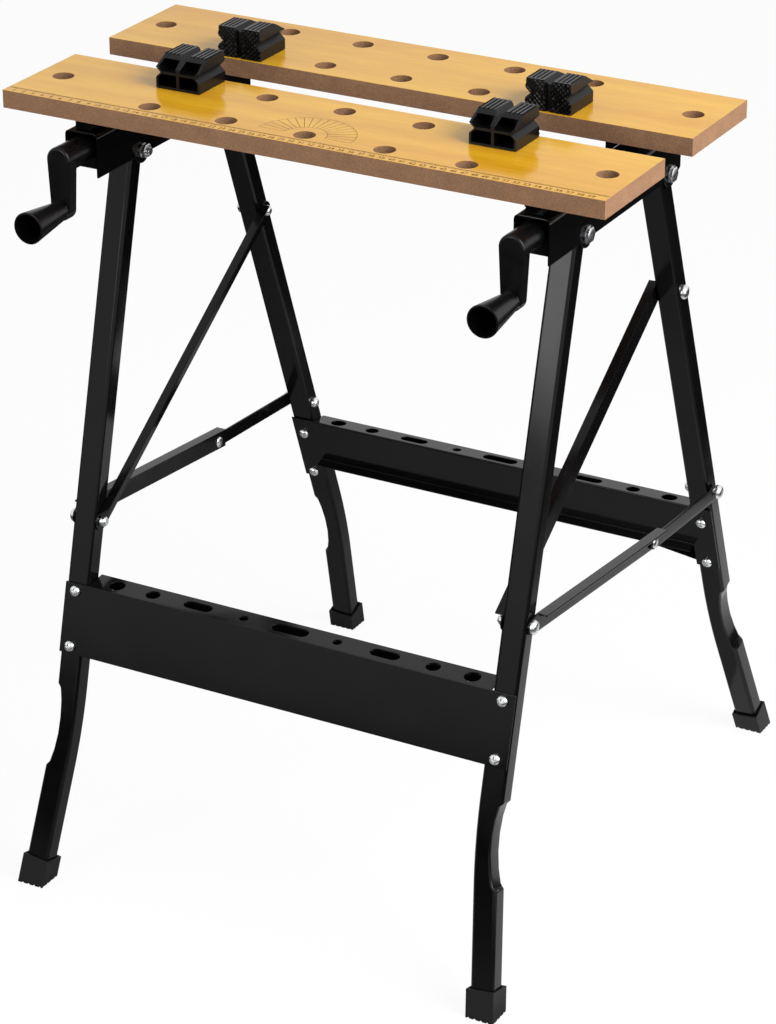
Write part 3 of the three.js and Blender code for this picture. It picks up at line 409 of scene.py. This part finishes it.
def pivot_bolt():
    """Hexagon bolt and washer outside the rail, two shoulders beside the leg, washer and nut inside."""
    tip, tip_chamfer, shoulder = 3, 0.6, 7.2
    washer, washer_radius = 1.3, 8.5
    nut, nut_chamfer, head, head_chamfer = 7.1, 0.8, 7.6, 2
    nut_from = RAIL_IN - NUT_HEIGHT
    profile = [(nut_from - tip, PIVOT_SHANK - tip_chamfer), (nut_from - tip + tip_chamfer, PIVOT_SHANK)]
    for start, end in SHOULDERS:
        profile += [(start, PIVOT_SHANK), (start, shoulder), (end, shoulder), (end, PIVOT_SHANK)]
    profile.append((RAIL_OUT + 1, PIVOT_SHANK))
    shank = turned("shank", profile)
    inner = turned("washer_in", [(RAIL_IN - washer, nut), (RAIL_IN, nut)])
    outer = turned("washer_out", [(RAIL_OUT, washer_radius), (RAIL_OUT + washer, washer_radius)])
    hex_nut = hexagon("nut", nut_from, NUT_HEIGHT - washer, nut, nut_chamfer)
    hex_head = hexagon("head", RAIL_OUT + washer, HEAD_HEIGHT - washer, head, head_chamfer)
    return one_piece(shank, inner, outer, hex_nut, hex_head)


def link_bolt(name):
    """A plain shank with domed heads, each (start, height, radius), along the bolt."""
    start, end = LINK_BOLTS[name]
    shank = turned(name, [(start, LINK_SHANK), (end, LINK_SHANK)])
    return one_piece(shank, *[turned("head", domed(*head)) for head in LINK_HEADS[name]])


def tray_screw():
    """Pan-headed screw with a cross recess, and its nut behind the leg."""
    head_from, head_radius = 12.1, 5.4
    recess = (6, 1.4, 3.4)
    nut_from, nut_radius, nut_chamfer = -10.3, 5.5, 0.7
    head = turned("screw_head", domed(head_from, HEAD_HEIGHT, head_radius))
    for turn in (0, math.pi / 2):
        bpy.ops.mesh.primitive_cube_add(
            size=1, location=(0, 0, (head_from + HEAD_HEIGHT) * MM), rotation=(0, 0, turn))
        slot = bpy.context.object
        slot.scale = [size * MM for size in recess]
        bpy.ops.object.transform_apply(location=True, rotation=True, scale=True)
        cut(head, [slot])
    screw_end = nut_from - NUT_HEIGHT
    shank = turned("screw", [(screw_end, TRAY_SHANK), (head_from + 0.5, TRAY_SHANK)])
    nut = hexagon("screw_nut", screw_end, NUT_HEIGHT, nut_radius, nut_chamfer)
    return one_piece(head, shank, nut)


ZINC = zinc_plate()
side_bolts = {f"{row}_pivot_bolt": pivot_bolt() for row in ROWS}
side_bolts.update({name: link_bolt(name) for name in LINK_BOLTS})
for bolt, pattern in side_bolts.items():
    for side in SIDES:
        node = f"{bolt}_{side}"
        low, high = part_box(node)
        place = across(side, (low[1] + high[1]) / 2, (low[2] + high[2]) / 2)
        stands_for(copied(pattern, f"{node}_made", place), node, ZINC)
    bpy.data.objects.remove(pattern)
pattern = tray_screw()
facing = Matrix.Rotation(math.pi / 2, 4, "X")
for row in ROWS:
    for key, down in TRAY_SCREWS[row].items():
        for side, way in SIDES.items():
            node = f"{row}_tray_bolt_{key}_{side}"
            seat = Matrix.Translation((way * SIDE_X * MM, 0, -down * MM))
            place = leg_frame(row) @ seat @ facing
            stands_for(copied(pattern, f"{node}_made", place), node, ZINC)
bpy.data.objects.remove(pattern)


# Risers and jaw carriages: short pressed channels under the boards, enamelled. The risers are screwed
# under the fixed board. The carriages slide on the rails and hold the vice nuts. A tongue in front
# guides each one, and its rear end passes under the fixed board.
RELIEF_FROM, RELIEF_TO = -102.5, -90
RELIEF_WIDTH, RELIEF_DEPTH = 60, 0.5
BOARD_BOTTOM = 755
TONGUE_WIDTH, TONGUE_FROM, TONGUE_TO = 17, -204.5, -186
TONGUE_LOW, TONGUE_HIGH = 740.6, 754.9


def block(low, high):
    """A squared block between two corners."""
    bpy.ops.mesh.primitive_cube_add(size=1, location=[(a + b) / 2 * MM for a, b in zip(low, high)])
    piece = bpy.context.object
    piece.scale = [(b - a) * MM for a, b in zip(low, high)]
    bpy.ops.object.transform_apply(location=True, rotation=True, scale=True)
    return piece


for side, way in SIDES.items():
    enamelled(f"rear_jaw_riser_{side}", SHEET_EDGE)
    node = f"jaw_carriage_{side}"
    carriage = merged_copy(node)
    middle = way * SIDE_X
    cut(carriage, [block(
        (middle - RELIEF_WIDTH / 2, RELIEF_FROM, BOARD_BOTTOM - RELIEF_DEPTH),
        (middle + RELIEF_WIDTH / 2, RELIEF_TO, BOARD_BOTTOM + RELIEF_DEPTH))])
    cut(carriage, [block(
        (middle - TONGUE_WIDTH / 2, TONGUE_FROM, TONGUE_LOW),
        (middle + TONGUE_WIDTH / 2, TONGUE_TO, TONGUE_HIGH))], "UNION")
    stands_for(rounded(carriage, SHEET_EDGE), node, ENAMEL)


# Jaw boards: two planks of fibreboard under a printed wood-grain laminate, sawn square, with twelve
# holes drilled in each for the dogs. The front one slides, and carries a printed centimetre rule and
# protractor.
BOARD_LENGTH, BOARD_WIDTH, BOARD_THICK = 605, 120, 17
TOP_Z = 772
BOARDS = {"front_jaw": -162.5, "rear_jaw": 15.5}
BOARD_EDGE = 0.35
UPWARD = 0.9
HOLE_RADIUS, HOLE_PITCH, HOLE_ROW, END_HOLE = 10, 80, 36, 276
HOLE_PLACES = [(HOLE_PITCH * i, y) for i in range(-2, 3) for y in (-HOLE_ROW, HOLE_ROW)]
HOLE_PLACES += [(-END_HOLE, 0), (END_HOLE, 0)]
NEAR_EDGE_Y = BOARDS["front_jaw"] - BOARD_WIDTH / 2
CENTIMETRE, RULE_MARGIN = 10, 2
TICK_WIDTH, LINE_WIDTH, INK_THICK = 0.4, 0.4, 0.03
TICK_LENGTHS = {1: 1.6, 5: 0.8, CENTIMETRE: 0.8}
NUMERAL_SIZE, NUMERAL_INSET, LINE_INSET = 7, 4.2, 11.5
ARC_CENTRE = (0, -198.5)
ARC_RADII = (20, 46)
HALF_TURN, RAY_STEP = 180, 10


def gold_laminate():
    """Melamine laminate printed with pale golden wood: clear gloss over long faint figure."""
    material, tree, shader, place = blank("gold_wood_laminate")
    along = add(tree, "ShaderNodeMapping", {"Vector": place, "Scale": (0.06, 1, 1)}).outputs["Vector"]
    figure = add(tree, "ShaderNodeTexNoise", {
        "Vector": along, "Scale": 1 / (28 * MM), "Detail": 4}).outputs["Fac"]
    streak = add(tree, "ShaderNodeTexNoise", {
        "Vector": along, "Scale": 1 / (2.2 * MM), "Detail": 3}).outputs["Fac"]
    broad = add(tree, "ShaderNodeMapRange", {"Value": figure, **NOISE_MIDDLE, "To Min": 0, "To Max": 1})
    gold = add(tree, "ShaderNodeMix", {
        SHARE: broad.outputs["Result"], DARK: linear("#d99b18"), PALE: linear("#ebb42c")},
        data_type="RGBA")
    fine = add(tree, "ShaderNodeMapRange", {
        "Value": streak, **NOISE_MIDDLE, "To Min": 0.89, "To Max": 1.05})
    tone = add(tree, "ShaderNodeVectorMath", {
        0: gold.outputs[MIXED], 1: fine.outputs["Result"]}, operation="MULTIPLY")
    gloss = add(tree, "ShaderNodeMapRange", {
        "Value": figure, **NOISE_MIDDLE, "To Min": 0.12, "To Max": 0.2})
    bump = add(tree, "ShaderNodeBump", {"Height": streak, "Strength": 0.04, "Distance": 0.05 * MM})
    plug(tree, shader, {
        "Base Color": tone.outputs["Vector"], "Roughness": gloss.outputs["Result"],
        "Normal": bump.outputs["Normal"], "Specular IOR Level": 0.34})
    return material


def sawn_fibreboard():
    """Sawn edge of fibreboard: matt reddish brown, finely flecked with pale and dark fibres."""
    material, tree, shader, place = blank("sawn_fibreboard")
    fibre = add(tree, "ShaderNodeTexNoise", {
        "Vector": place, "Scale": 1 / (1.6 * MM), "Detail": 3}).outputs["Fac"]
    patch = add(tree, "ShaderNodeTexNoise", {
        "Vector": place, "Scale": 1 / (16 * MM), "Detail": 4}).outputs["Fac"]
    fleck = add(tree, "ShaderNodeMapRange", {"Value": fibre, **NOISE_MIDDLE, "To Min": 0, "To Max": 1})
    brown = add(tree, "ShaderNodeMix", {
        SHARE: fleck.outputs["Result"], DARK: linear("#725036"), PALE: linear("#906b4c")},
        data_type="RGBA")
    cloud = add(tree, "ShaderNodeMapRange", {
        "Value": patch, **NOISE_MIDDLE, "To Min": 0.9, "To Max": 1.1})
    tone = add(tree, "ShaderNodeVectorMath", {
        0: brown.outputs[MIXED], 1: cloud.outputs["Result"]}, operation="MULTIPLY")
    bump = add(tree, "ShaderNodeBump", {"Height": fibre, "Strength": 0.4, "Distance": 0.12 * MM})
    plug(tree, shader, {
        "Base Color": tone.outputs["Vector"], "Normal": bump.outputs["Normal"], "Roughness": 0.8})
    return material


def brown_ink():
    """Brown printing ink: matt, and a little uneven where the laminate's press squeezed it."""
    material, tree, shader, place = blank("printed_brown_ink")
    uneven = add(tree, "ShaderNodeTexNoise", {
        "Vector": place, "Scale": 1 / (2 * MM), "Detail": 2}).outputs["Fac"]
    brown = add(tree, "ShaderNodeMix", {
        SHARE: uneven, DARK: linear("#140c04"), PALE: linear("#281a0a")}, data_type="RGBA")
    plug(tree, shader, {
        "Base Color": brown.outputs[MIXED], "Roughness": 0.6, "Specular IOR Level": 0.1})
    return material


LAMINATE = gold_laminate()
FIBREBOARD = sawn_fibreboard()


def drilled_board(node, centre_y):
    """A sawn plank, drilled through, with laminate on top and bare fibreboard below and on every cut."""
    plank = block(
        (-BOARD_LENGTH / 2, centre_y - BOARD_WIDTH / 2, BOARD_BOTTOM),
        (BOARD_LENGTH / 2, centre_y + BOARD_WIDTH / 2, TOP_Z))
    plank.name = f"{node}_made"
    drills = []
    for x, y in HOLE_PLACES:
        bpy.ops.mesh.primitive_cylinder_add(
            vertices=48, radius=HOLE_RADIUS * MM, depth=2 * BOARD_THICK * MM,
            location=(x * MM, (centre_y + y) * MM, (TOP_Z - BOARD_THICK / 2) * MM))
        drills.append(bpy.context.object)
    cut(plank, drills)
    rounded(plank, BOARD_EDGE, clamp=True)
    stands_for(plank, node, FIBREBOARD)
    plank.data.materials.append(LAMINATE)
    for face in plank.data.polygons:
        face.material_index = int(face.normal.z > UPWARD)
    return plank


for node, centre_y in BOARDS.items():
    drilled_board(node, centre_y)


def stroke(x, y, width, length, turn=0):
    """A printed line: its middle, its width and length, turned about Z."""
    bpy.ops.mesh.primitive_plane_add(
        size=1, location=(x * MM, y * MM, TOP_Z * MM), rotation=(0, 0, turn))
    line = bpy.context.object
    line.scale = (width * MM, length * MM, 1)
    bpy.ops.object.transform_apply(location=True, rotation=True, scale=True)
    return line


def numeral(number, x):
    """A printed figure of the rule."""
    bpy.ops.object.text_add(location=(x * MM, (NEAR_EDGE_Y + NUMERAL_INSET) * MM, TOP_Z * MM))
    text = bpy.context.object
    text.data.body = str(number)
    text.data.size = NUMERAL_SIZE * MM
    text.data.resolution_u = 2
    text.data.align_x = "CENTER"
    text.data.align_y = "CENTER"
    only(text)
    bpy.ops.object.convert(target="MESH")
    bpy.ops.object.transform_apply(location=True, rotation=True, scale=True)
    return bpy.context.object


def half_ring(radius):
    """A printed half circle on the far side of the protractor's centre."""
    x, y = ARC_CENTRE
    bpy.ops.mesh.primitive_circle_add(
        vertices=96, radius=radius * MM, fill_type="NOTHING", location=(x * MM, y * MM, TOP_Z * MM))
    ring = bpy.context.object
    bpy.ops.object.transform_apply(location=True)
    bpy.ops.object.mode_set(mode="EDIT")
    bpy.ops.mesh.select_all(action="SELECT")
    bpy.ops.mesh.extrude_edges_move()
    wider = (radius + LINE_WIDTH) / radius
    bpy.ops.transform.resize(value=(wider, wider, 1), center_override=(x * MM, y * MM, TOP_Z * MM))
    bpy.ops.mesh.select_all(action="SELECT")
    bpy.ops.mesh.bisect(plane_co=(0, y * MM, 0), plane_no=(0, 1, 0), clear_inner=True)
    bpy.ops.object.mode_set(mode="OBJECT")
    return ring


def printed_marks():
    """The rule along the near edge and the protractor around the middle hole, as one film of ink."""
    start = -BOARD_LENGTH / 2
    marks = [stroke(0, NEAR_EDGE_Y + LINE_INSET, BOARD_LENGTH - 2 * RULE_MARGIN, LINE_WIDTH)]
    root = NEAR_EDGE_Y + LINE_INSET - LINE_WIDTH / 2
    for step, length in TICK_LENGTHS.items():
        tick = stroke(start + step, root - length / 2, TICK_WIDTH, length)
        root -= length
        worked(
            tick, "ARRAY", count=int(BOARD_LENGTH / step) - 1, use_relative_offset=False,
            use_constant_offset=True, constant_offset_displace=(step * MM, 0, 0))
        marks.append(tick)
    for number in range(1, int(BOARD_LENGTH / CENTIMETRE)):
        marks.append(numeral(number, start + CENTIMETRE * number))
    marks += [half_ring(radius) for radius in ARC_RADII]
    for angle in range(0, HALF_TURN + 1, RAY_STEP):
        turn = math.radians(angle)
        middle = (sum(ARC_RADII) + LINE_WIDTH) / 2
        marks.append(stroke(
            ARC_CENTRE[0] + middle * math.cos(turn), ARC_CENTRE[1] + middle * math.sin(turn),
            LINE_WIDTH, ARC_RADII[1] - ARC_RADII[0] - LINE_WIDTH, turn - math.pi / 2))
    ink = only(*marks)
    bpy.ops.object.join()
    ink.name = "printed_marks"
    worked(ink, "SOLIDIFY", thickness=INK_THICK * MM, offset=1)
    return ink


ink = printed_marks()
ink.data.materials.clear()
ink.data.materials.append(brown_ink())
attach(ink, frame["nodes"]["front_jaw"]["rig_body"])


# Vice screws: turned steel rods with a rolled trapezoid thread and a collar that pulls against the bush.
# The plastic bushes are pressed into the front ends of the rails.
SCREW_Z = 724
AXIS = Matrix.Translation((SIDE_X * MM, 0, SCREW_Z * MM)) @ facing
OTHER_SIDE = Matrix.Translation((-2 * SIDE_X * MM, 0, 0))
THREAD_PITCH, THREAD_CORE, THREAD_CREST, THREAD_FLANK = 4, 4.2, 5, 0.34
# Along the screw, forwards from the middle of the bench.
POINT_FROM, POINT_TO = 28.5, 29.4
THREAD_FROM, THREAD_TO, THREAD_STEPS = 30, 180, 24
COLLAR_FROM, COLLAR_TO, COLLAR_RADIUS, COLLAR_CHAMFER = 181.7, 185.7, 9, 0.5
ROD_RADIUS, ROD_POINT, SCREW_TIP = 5, 3.4, 226.3
BUSH_EDGE = 0.6
BUSH_LOW, BUSH_DROP = 711, 9


def drawn_out(piece, picked, move):
    """Moves the corners that a test picks, both in millimetres."""
    only(piece)
    bpy.ops.object.mode_set(mode="EDIT")
    bpy.ops.mesh.select_mode(type="VERT")
    bpy.ops.mesh.select_all(action="DESELECT")
    bpy.ops.object.mode_set(mode="OBJECT")
    for corner in piece.data.vertices:
        corner.select = picked(corner.co / MM)
    bpy.ops.object.mode_set(mode="EDIT")
    bpy.ops.transform.translate(value=[step * MM for step in move])
    bpy.ops.object.mode_set(mode="OBJECT")
    return piece


def turned_steel():
    """Turned steel, lightly oiled: grey metal with fine tool marks."""
    material, tree, shader, place = blank("turned_steel")
    marks = add(tree, "ShaderNodeTexNoise", {
        "Vector": place, "Scale": 1 / (1.5 * MM), "Detail": 2}).outputs["Fac"]
    grey = add(tree, "ShaderNodeMix", {
        SHARE: marks, DARK: linear("#7d8084"), PALE: linear("#a2a5a9")}, data_type="RGBA")
    oil = add(tree, "ShaderNodeMapRange", {
        "Value": marks, **NOISE_MIDDLE, "To Min": 0.28, "To Max": 0.42})
    plug(tree, shader, {
        "Base Color": grey.outputs[MIXED], "Roughness": oil.outputs["Result"], "Metallic": 1})
    return material


def moulded_plastic():
    """Moulded black plastic: dull sheen over a fine grain, drawn at a millimetre so that it shows."""
    material, tree, shader, place = blank("moulded_black_plastic")
    haze = add(tree, "ShaderNodeTexNoise", {
        "Vector": place, "Scale": 1 / (20 * MM), "Detail": 3}).outputs["Fac"]
    black = add(tree, "ShaderNodeMix", {
        SHARE: haze, DARK: linear("#040404"), PALE: linear("#08080a")}, data_type="RGBA")
    sheen = add(tree, "ShaderNodeMapRange", {
        "Value": haze, **NOISE_MIDDLE, "To Min": 0.24, "To Max": 0.34})
    grain = add(tree, "ShaderNodeTexNoise", {
        "Vector": place, "Scale": 1 / (1 * MM), "Detail": 2}).outputs["Fac"]
    bump = add(tree, "ShaderNodeBump", {"Height": grain, "Strength": 0.12, "Distance": 0.06 * MM})
    plug(tree, shader, {
        "Base Color": black.outputs[MIXED], "Roughness": sheen.outputs["Result"],
        "Normal": bump.outputs["Normal"], "Specular IOR Level": 0.2})
    return material


def vice_screw():
    """The rod with its collar, and a thread wound along it."""
    rim = COLLAR_RADIUS - COLLAR_CHAMFER
    rod = turned("rod", [
        (POINT_FROM, ROD_POINT), (POINT_TO, THREAD_CORE), (THREAD_TO, THREAD_CORE),
        (COLLAR_FROM, ROD_RADIUS), (COLLAR_FROM, rim), (COLLAR_FROM + COLLAR_CHAMFER, COLLAR_RADIUS),
        (COLLAR_TO - COLLAR_CHAMFER, COLLAR_RADIUS), (COLLAR_TO, rim), (COLLAR_TO, ROD_RADIUS),
        (SCREW_TIP, ROD_RADIUS)])
    depth = THREAD_CREST - THREAD_CORE
    bpy.ops.mesh.primitive_circle_add(
        vertices=4, radius=1, fill_type="NOTHING", rotation=(math.pi / 2, 0, 0),
        location=(THREAD_CORE * MM, 0, (THREAD_FROM + THREAD_PITCH / 2) * MM))
    thread = bpy.context.object
    thread.scale = (depth * MM, THREAD_PITCH * THREAD_FLANK * MM, 1)
    bpy.ops.object.transform_apply(location=True, rotation=True, scale=True)
    turns = int((THREAD_TO - THREAD_FROM) / THREAD_PITCH) - 1
    worked(
        thread, "SCREW", axis="Z", screw_offset=THREAD_PITCH * MM, iterations=turns,
        steps=THREAD_STEPS, render_steps=THREAD_STEPS)
    bpy.ops.object.mode_set(mode="EDIT")
    bpy.ops.mesh.select_all(action="SELECT")
    bpy.ops.mesh.fill_holes(sides=0)
    bpy.ops.mesh.normals_make_consistent(inside=False)
    bpy.ops.object.mode_set(mode="OBJECT")
    return one_piece(rod, smoothed(thread))


def both_sides(pattern, name, finish):
    """Stands a pattern for the right-hand node and a copy of it for the left-hand one."""
    places = {"right": AXIS, "left": OTHER_SIDE @ AXIS}
    for side, place in places.items():
        node = f"{name}_{side}"
        stands_for(copied(pattern, f"{node}_made", place), node, finish)
    bpy.data.objects.remove(pattern)


STEEL = turned_steel()
PLASTIC = moulded_plastic()
both_sides(vice_screw(), "vice_screw", STEEL)
for side in SIDES:
    node = f"screw_bush_{side}"
    bush = drawn_out(merged_copy(node), lambda at: at.z < BUSH_LOW, (0, 0, -BUSH_DROP))
    stands_for(rounded(bush, BUSH_EDGE), node, PLASTIC)


# Cranks: moulded in black plastic, each in one piece. A round hub is pushed on the end of the screw, and
# a tapered arm hangs from it and carries a flared hollow grip.
HUB_RADIUS, HUB_FROM, HUB_BORE, HUB_CHAMFER = 12.3, 196.3, 5.3, 0.8
ARM_FROM, ARM_THICK, ARM_EDGE = 234, 14, 2.6
ARM_TOP_RADIUS, ARM_END_RADIUS, ARM_THROW = 12.5, 10, 47.5
GRIP_ROOT, GRIP_RIM, GRIP_WALL, GRIP_END = 9.4, 15, 1.8, 299
GRIP_FLOOR, GRIP_NECK, GRIP_BAND, GRIP_LIP = 265, 2, 1, 0.5


def crank():
    """Hub, arm and grip joined into one moulding, and the bore for the screw."""
    middle = ARM_FROM + ARM_THICK / 2
    bpy.ops.object.select_all(action="DESELECT")
    bpy.ops.mesh.primitive_cylinder_add(
        vertices=64, radius=ARM_TOP_RADIUS * MM, depth=ARM_THICK * MM, location=(0, 0, middle * MM))
    arm = bpy.context.object
    bpy.ops.object.transform_apply(location=True)
    bpy.ops.object.mode_set(mode="EDIT")
    bpy.ops.mesh.primitive_cylinder_add(
        vertices=64, radius=ARM_END_RADIUS * MM, depth=ARM_THICK * MM,
        location=(0, -ARM_THROW * MM, middle * MM))
    bpy.ops.mesh.select_all(action="SELECT")
    bpy.ops.mesh.convex_hull()
    bpy.ops.mesh.dissolve_limited(angle_limit=FLAT)
    bpy.ops.object.mode_set(mode="OBJECT")
    rounded(arm, ARM_EDGE, segments=4)
    hub = turned("hub", [
        (HUB_FROM, HUB_RADIUS - HUB_CHAMFER), (HUB_FROM + HUB_CHAMFER, HUB_RADIUS),
        (middle, HUB_RADIUS)], sides=60)
    grip = turned("grip", [
        (middle, GRIP_ROOT), (ARM_FROM + ARM_THICK + GRIP_NECK, GRIP_ROOT),
        (GRIP_END - GRIP_BAND, GRIP_RIM), (GRIP_END - 0.3, GRIP_RIM), (GRIP_END, GRIP_RIM - GRIP_LIP),
        (GRIP_END, GRIP_RIM - GRIP_WALL), (GRIP_FLOOR, GRIP_ROOT - GRIP_WALL)], sides=64)
    grip = copied(grip, "grip_low", Matrix.Translation((0, -ARM_THROW * MM, 0)))
    bpy.data.objects.remove(bpy.data.objects["grip"])
    cut(arm, [hub], "UNION")
    cut(arm, [grip], "UNION")
    bore = turned("bore", [(HUB_FROM - 1, HUB_BORE), (SCREW_TIP + 0.3, HUB_BORE)])
    return smoothed(cut(arm, [bore]))


both_sides(crank(), "crank", PLASTIC)


# Bench dogs: four blocks of moulded black plastic on round pegs, hollow behind, with ribbed tops and a
# cross-hatched gripping face. They stand in holes of the boards beside the gap and can be turned.
DOG_EDGE = 0.35
DOG_X, DOG_REACH = 160, 22
DOG_Y = {"front": -126.5, "rear": -20.5}
DOG_MIDDLE_Z = 787
HATCH_PITCH, HATCH_DEPTH, HATCH_TOOL = 3.3, 1.45, 2.2
HATCH_COUNT = 10


def hatched(dog):
    """Cuts two sets of slanting V grooves into the gripping face."""
    for slant in (-math.pi / 4, math.pi / 4):
        tools = []
        for i in range(-HATCH_COUNT, HATCH_COUNT + 1):
            step = i * HATCH_PITCH
            place = (
                DOG_X + step * math.cos(slant),
                DOG_Y["rear"] - DOG_REACH - HATCH_TOOL + HATCH_DEPTH,
                DOG_MIDDLE_Z - step * math.sin(slant))
            bpy.ops.mesh.primitive_cylinder_add(
                vertices=4, radius=HATCH_TOOL * MM, depth=GROOVE_LENGTH * MM,
                location=[c * MM for c in place], rotation=(0, slant, 0))
            tools.append(bpy.context.object)
        cut(dog, tools)
    return dog


pattern = rounded(merged_copy("rear_dog_right"), DOG_EDGE, segments=1, clamp=True)
pattern = smoothed(hatched(pattern))
home = Matrix.Translation((-DOG_X * MM, -DOG_Y["rear"] * MM, 0))
turns = {"front": Matrix.Rotation(math.pi, 4, "Z"), "rear": Matrix.Identity(4)}
for row in ROWS:
    for side, way in SIDES.items():
        node = f"{row}_dog_{side}"
        place = Matrix.Translation((way * DOG_X * MM, DOG_Y[row] * MM, 0)) @ turns[row] @ home
        stands_for(copied(pattern, f"{node}_cut", place), node, PLASTIC)
bpy.data.objects.remove(pattern)


# Studio, in metres: a white floor in a white room, a large soft lamp high on the right with a soft
# panel below it, a panel on the front left that the leg fronts mirror, and a sheet on the floor that
# only mirrors see, painted with shade: grey near the bench, where the floor under it lies in shade,
# black further out, with a hole on the right where the white floor shows.
FLOOR_SIZE, FLOOR_GLOW, ROOM_LIGHT = 60, 0.92, 0.45
SHADE_SHEET_RADIUS, SHADE_SHEET_Z = 3.4, 0.002
WINDOW_PLACE, WINDOW_SIZE, WINDOW_DEPTH = (0.38, 0.3), (0.17, 0.75), 0.1
SHADE_NEAR, SHADE_FAR = 0.3, 1.0
CAMERA_PLACE, CAMERA_TILT, CAMERA_TURN = (1.42980, -2.66296, 1.76468), 0.44498, 0.50004
CAMERA_LENS, CAMERA_SENSOR = 120.45, 36


def ray_share(tree):
    """1 for rays that look at the room: from the camera, a mirror or glass."""
    path = add(tree, "ShaderNodeLightPath")
    seen = add(tree, "ShaderNodeMath", {
        0: path.outputs["Is Camera Ray"], 1: path.outputs["Is Glossy Ray"]}, operation="MAXIMUM")
    seen = add(tree, "ShaderNodeMath", {
        0: seen.outputs[0], 1: path.outputs["Is Transmission Ray"]}, operation="MAXIMUM")
    return seen.outputs[0]


world = bpy.data.worlds.new("white_room")
bpy.context.scene.world = world
world.use_nodes = True
room = world.node_tree
level = add(room, "ShaderNodeMapRange", {"Value": ray_share(room), "To Min": ROOM_LIGHT, "To Max": 1})
plug(room, room.nodes["Background"], {"Color": linear("#ffffff"), "Strength": level.outputs["Result"]})

bpy.ops.mesh.primitive_plane_add(size=FLOOR_SIZE)
floor = bpy.context.object
floor.name = "studio_floor"
floor_finish = bpy.data.materials.new("white_floor")
floor_finish.use_nodes = True
tree = floor_finish.node_tree
tree.nodes.remove(tree.nodes["Principled BSDF"])
matt = add(tree, "ShaderNodeBsdfDiffuse", {"Color": linear("#f3f3f3")})
glow = add(tree, "ShaderNodeEmission", {"Color": linear("#ffffff"), "Strength": 1})
share = add(tree, "ShaderNodeMath", {0: ray_share(tree), 1: FLOOR_GLOW}, operation="MULTIPLY")
mixed = add(tree, "ShaderNodeMixShader", {0: share.outputs[0], 1: matt.outputs[0], 2: glow.outputs[0]})
plug(tree, tree.nodes["Material Output"], {"Surface": mixed.outputs[0]})
floor.data.materials.append(floor_finish)

# A sheet of painted shade just above the floor that only mirrors see, with a hole on the right where the
# white floor shows.
bpy.ops.mesh.primitive_cylinder_add(
    vertices=96, radius=SHADE_SHEET_RADIUS, depth=MM, location=(0, 0, SHADE_SHEET_Z))
shade_sheet = bpy.context.object
shade_sheet.name = "painted_floor_shade"
bpy.ops.object.transform_apply(location=True)
bpy.ops.mesh.primitive_cylinder_add(
    vertices=64, radius=1, depth=WINDOW_DEPTH, location=(*WINDOW_PLACE, SHADE_SHEET_Z))
window = bpy.context.object
window.scale = (*WINDOW_SIZE, 1)
cut(shade_sheet, [window])
shade_sheet_finish, tree, shader, place = blank("painted_floor_shade")
# Painted shade: grey near the middle, where the floor under the bench lies in shade, fading to black
# further out.
distance = add(tree, "ShaderNodeVectorMath", {0: place}, operation="LENGTH").outputs["Value"]
nearness = add(tree, "ShaderNodeMapRange", {
    "Value": distance, "From Min": SHADE_FAR, "From Max": SHADE_NEAR}).outputs["Result"]
shade = add(tree, "ShaderNodeMix", {
    SHARE: nearness, DARK: linear("#191919"), PALE: linear("#adadad")}, data_type="RGBA")
plug(tree, shader, {"Base Color": shade.outputs[MIXED], "Roughness": 1, "Specular IOR Level": 0})
shade_sheet.data.materials.append(shade_sheet_finish)
shade_sheet.visible_camera = False
shade_sheet.visible_diffuse = False
shade_sheet.visible_shadow = False
shade_sheet.visible_transmission = False


def lamp(name, place, target, width, height, power):
    """A soft rectangular lamp aimed at a point."""
    data = bpy.data.lights.new(name, "AREA")
    data.shape = "RECTANGLE"
    data.size, data.size_y, data.energy = width, height, power
    light = bpy.data.objects.new(name, data)
    light.location = place
    light.rotation_euler = (Vector(target) - Vector(place)).to_track_quat("-Z", "Y").to_euler()
    bpy.context.scene.collection.objects.link(light)
    return light


lamp("key_lamp", place=(2.8, -0.7, 2.6), target=(0, 0, 0.5), width=2.0, height=2.0, power=128)
lamp("front_panel", place=(-0.75, -2.5, 1.15), target=(0, -0.2, 0.6), width=0.75, height=1.0, power=15)
lamp("side_panel", place=(2.4, 0.2, 0.9), target=(0, 0, 0.7), width=1.0, height=1.0, power=25)

camera = bpy.data.objects.new("photo_camera", bpy.data.cameras.new("photo_camera"))
camera.location = CAMERA_PLACE
camera.rotation_euler = (math.pi / 2 - CAMERA_TILT, 0, CAMERA_TURN)
camera.data.lens = CAMERA_LENS
camera.data.sensor_width = CAMERA_SENSOR
bpy.context.scene.collection.objects.link(camera)
bpy.context.scene.camera = camera
bpy.context.scene.view_settings.view_transform = "Standard"
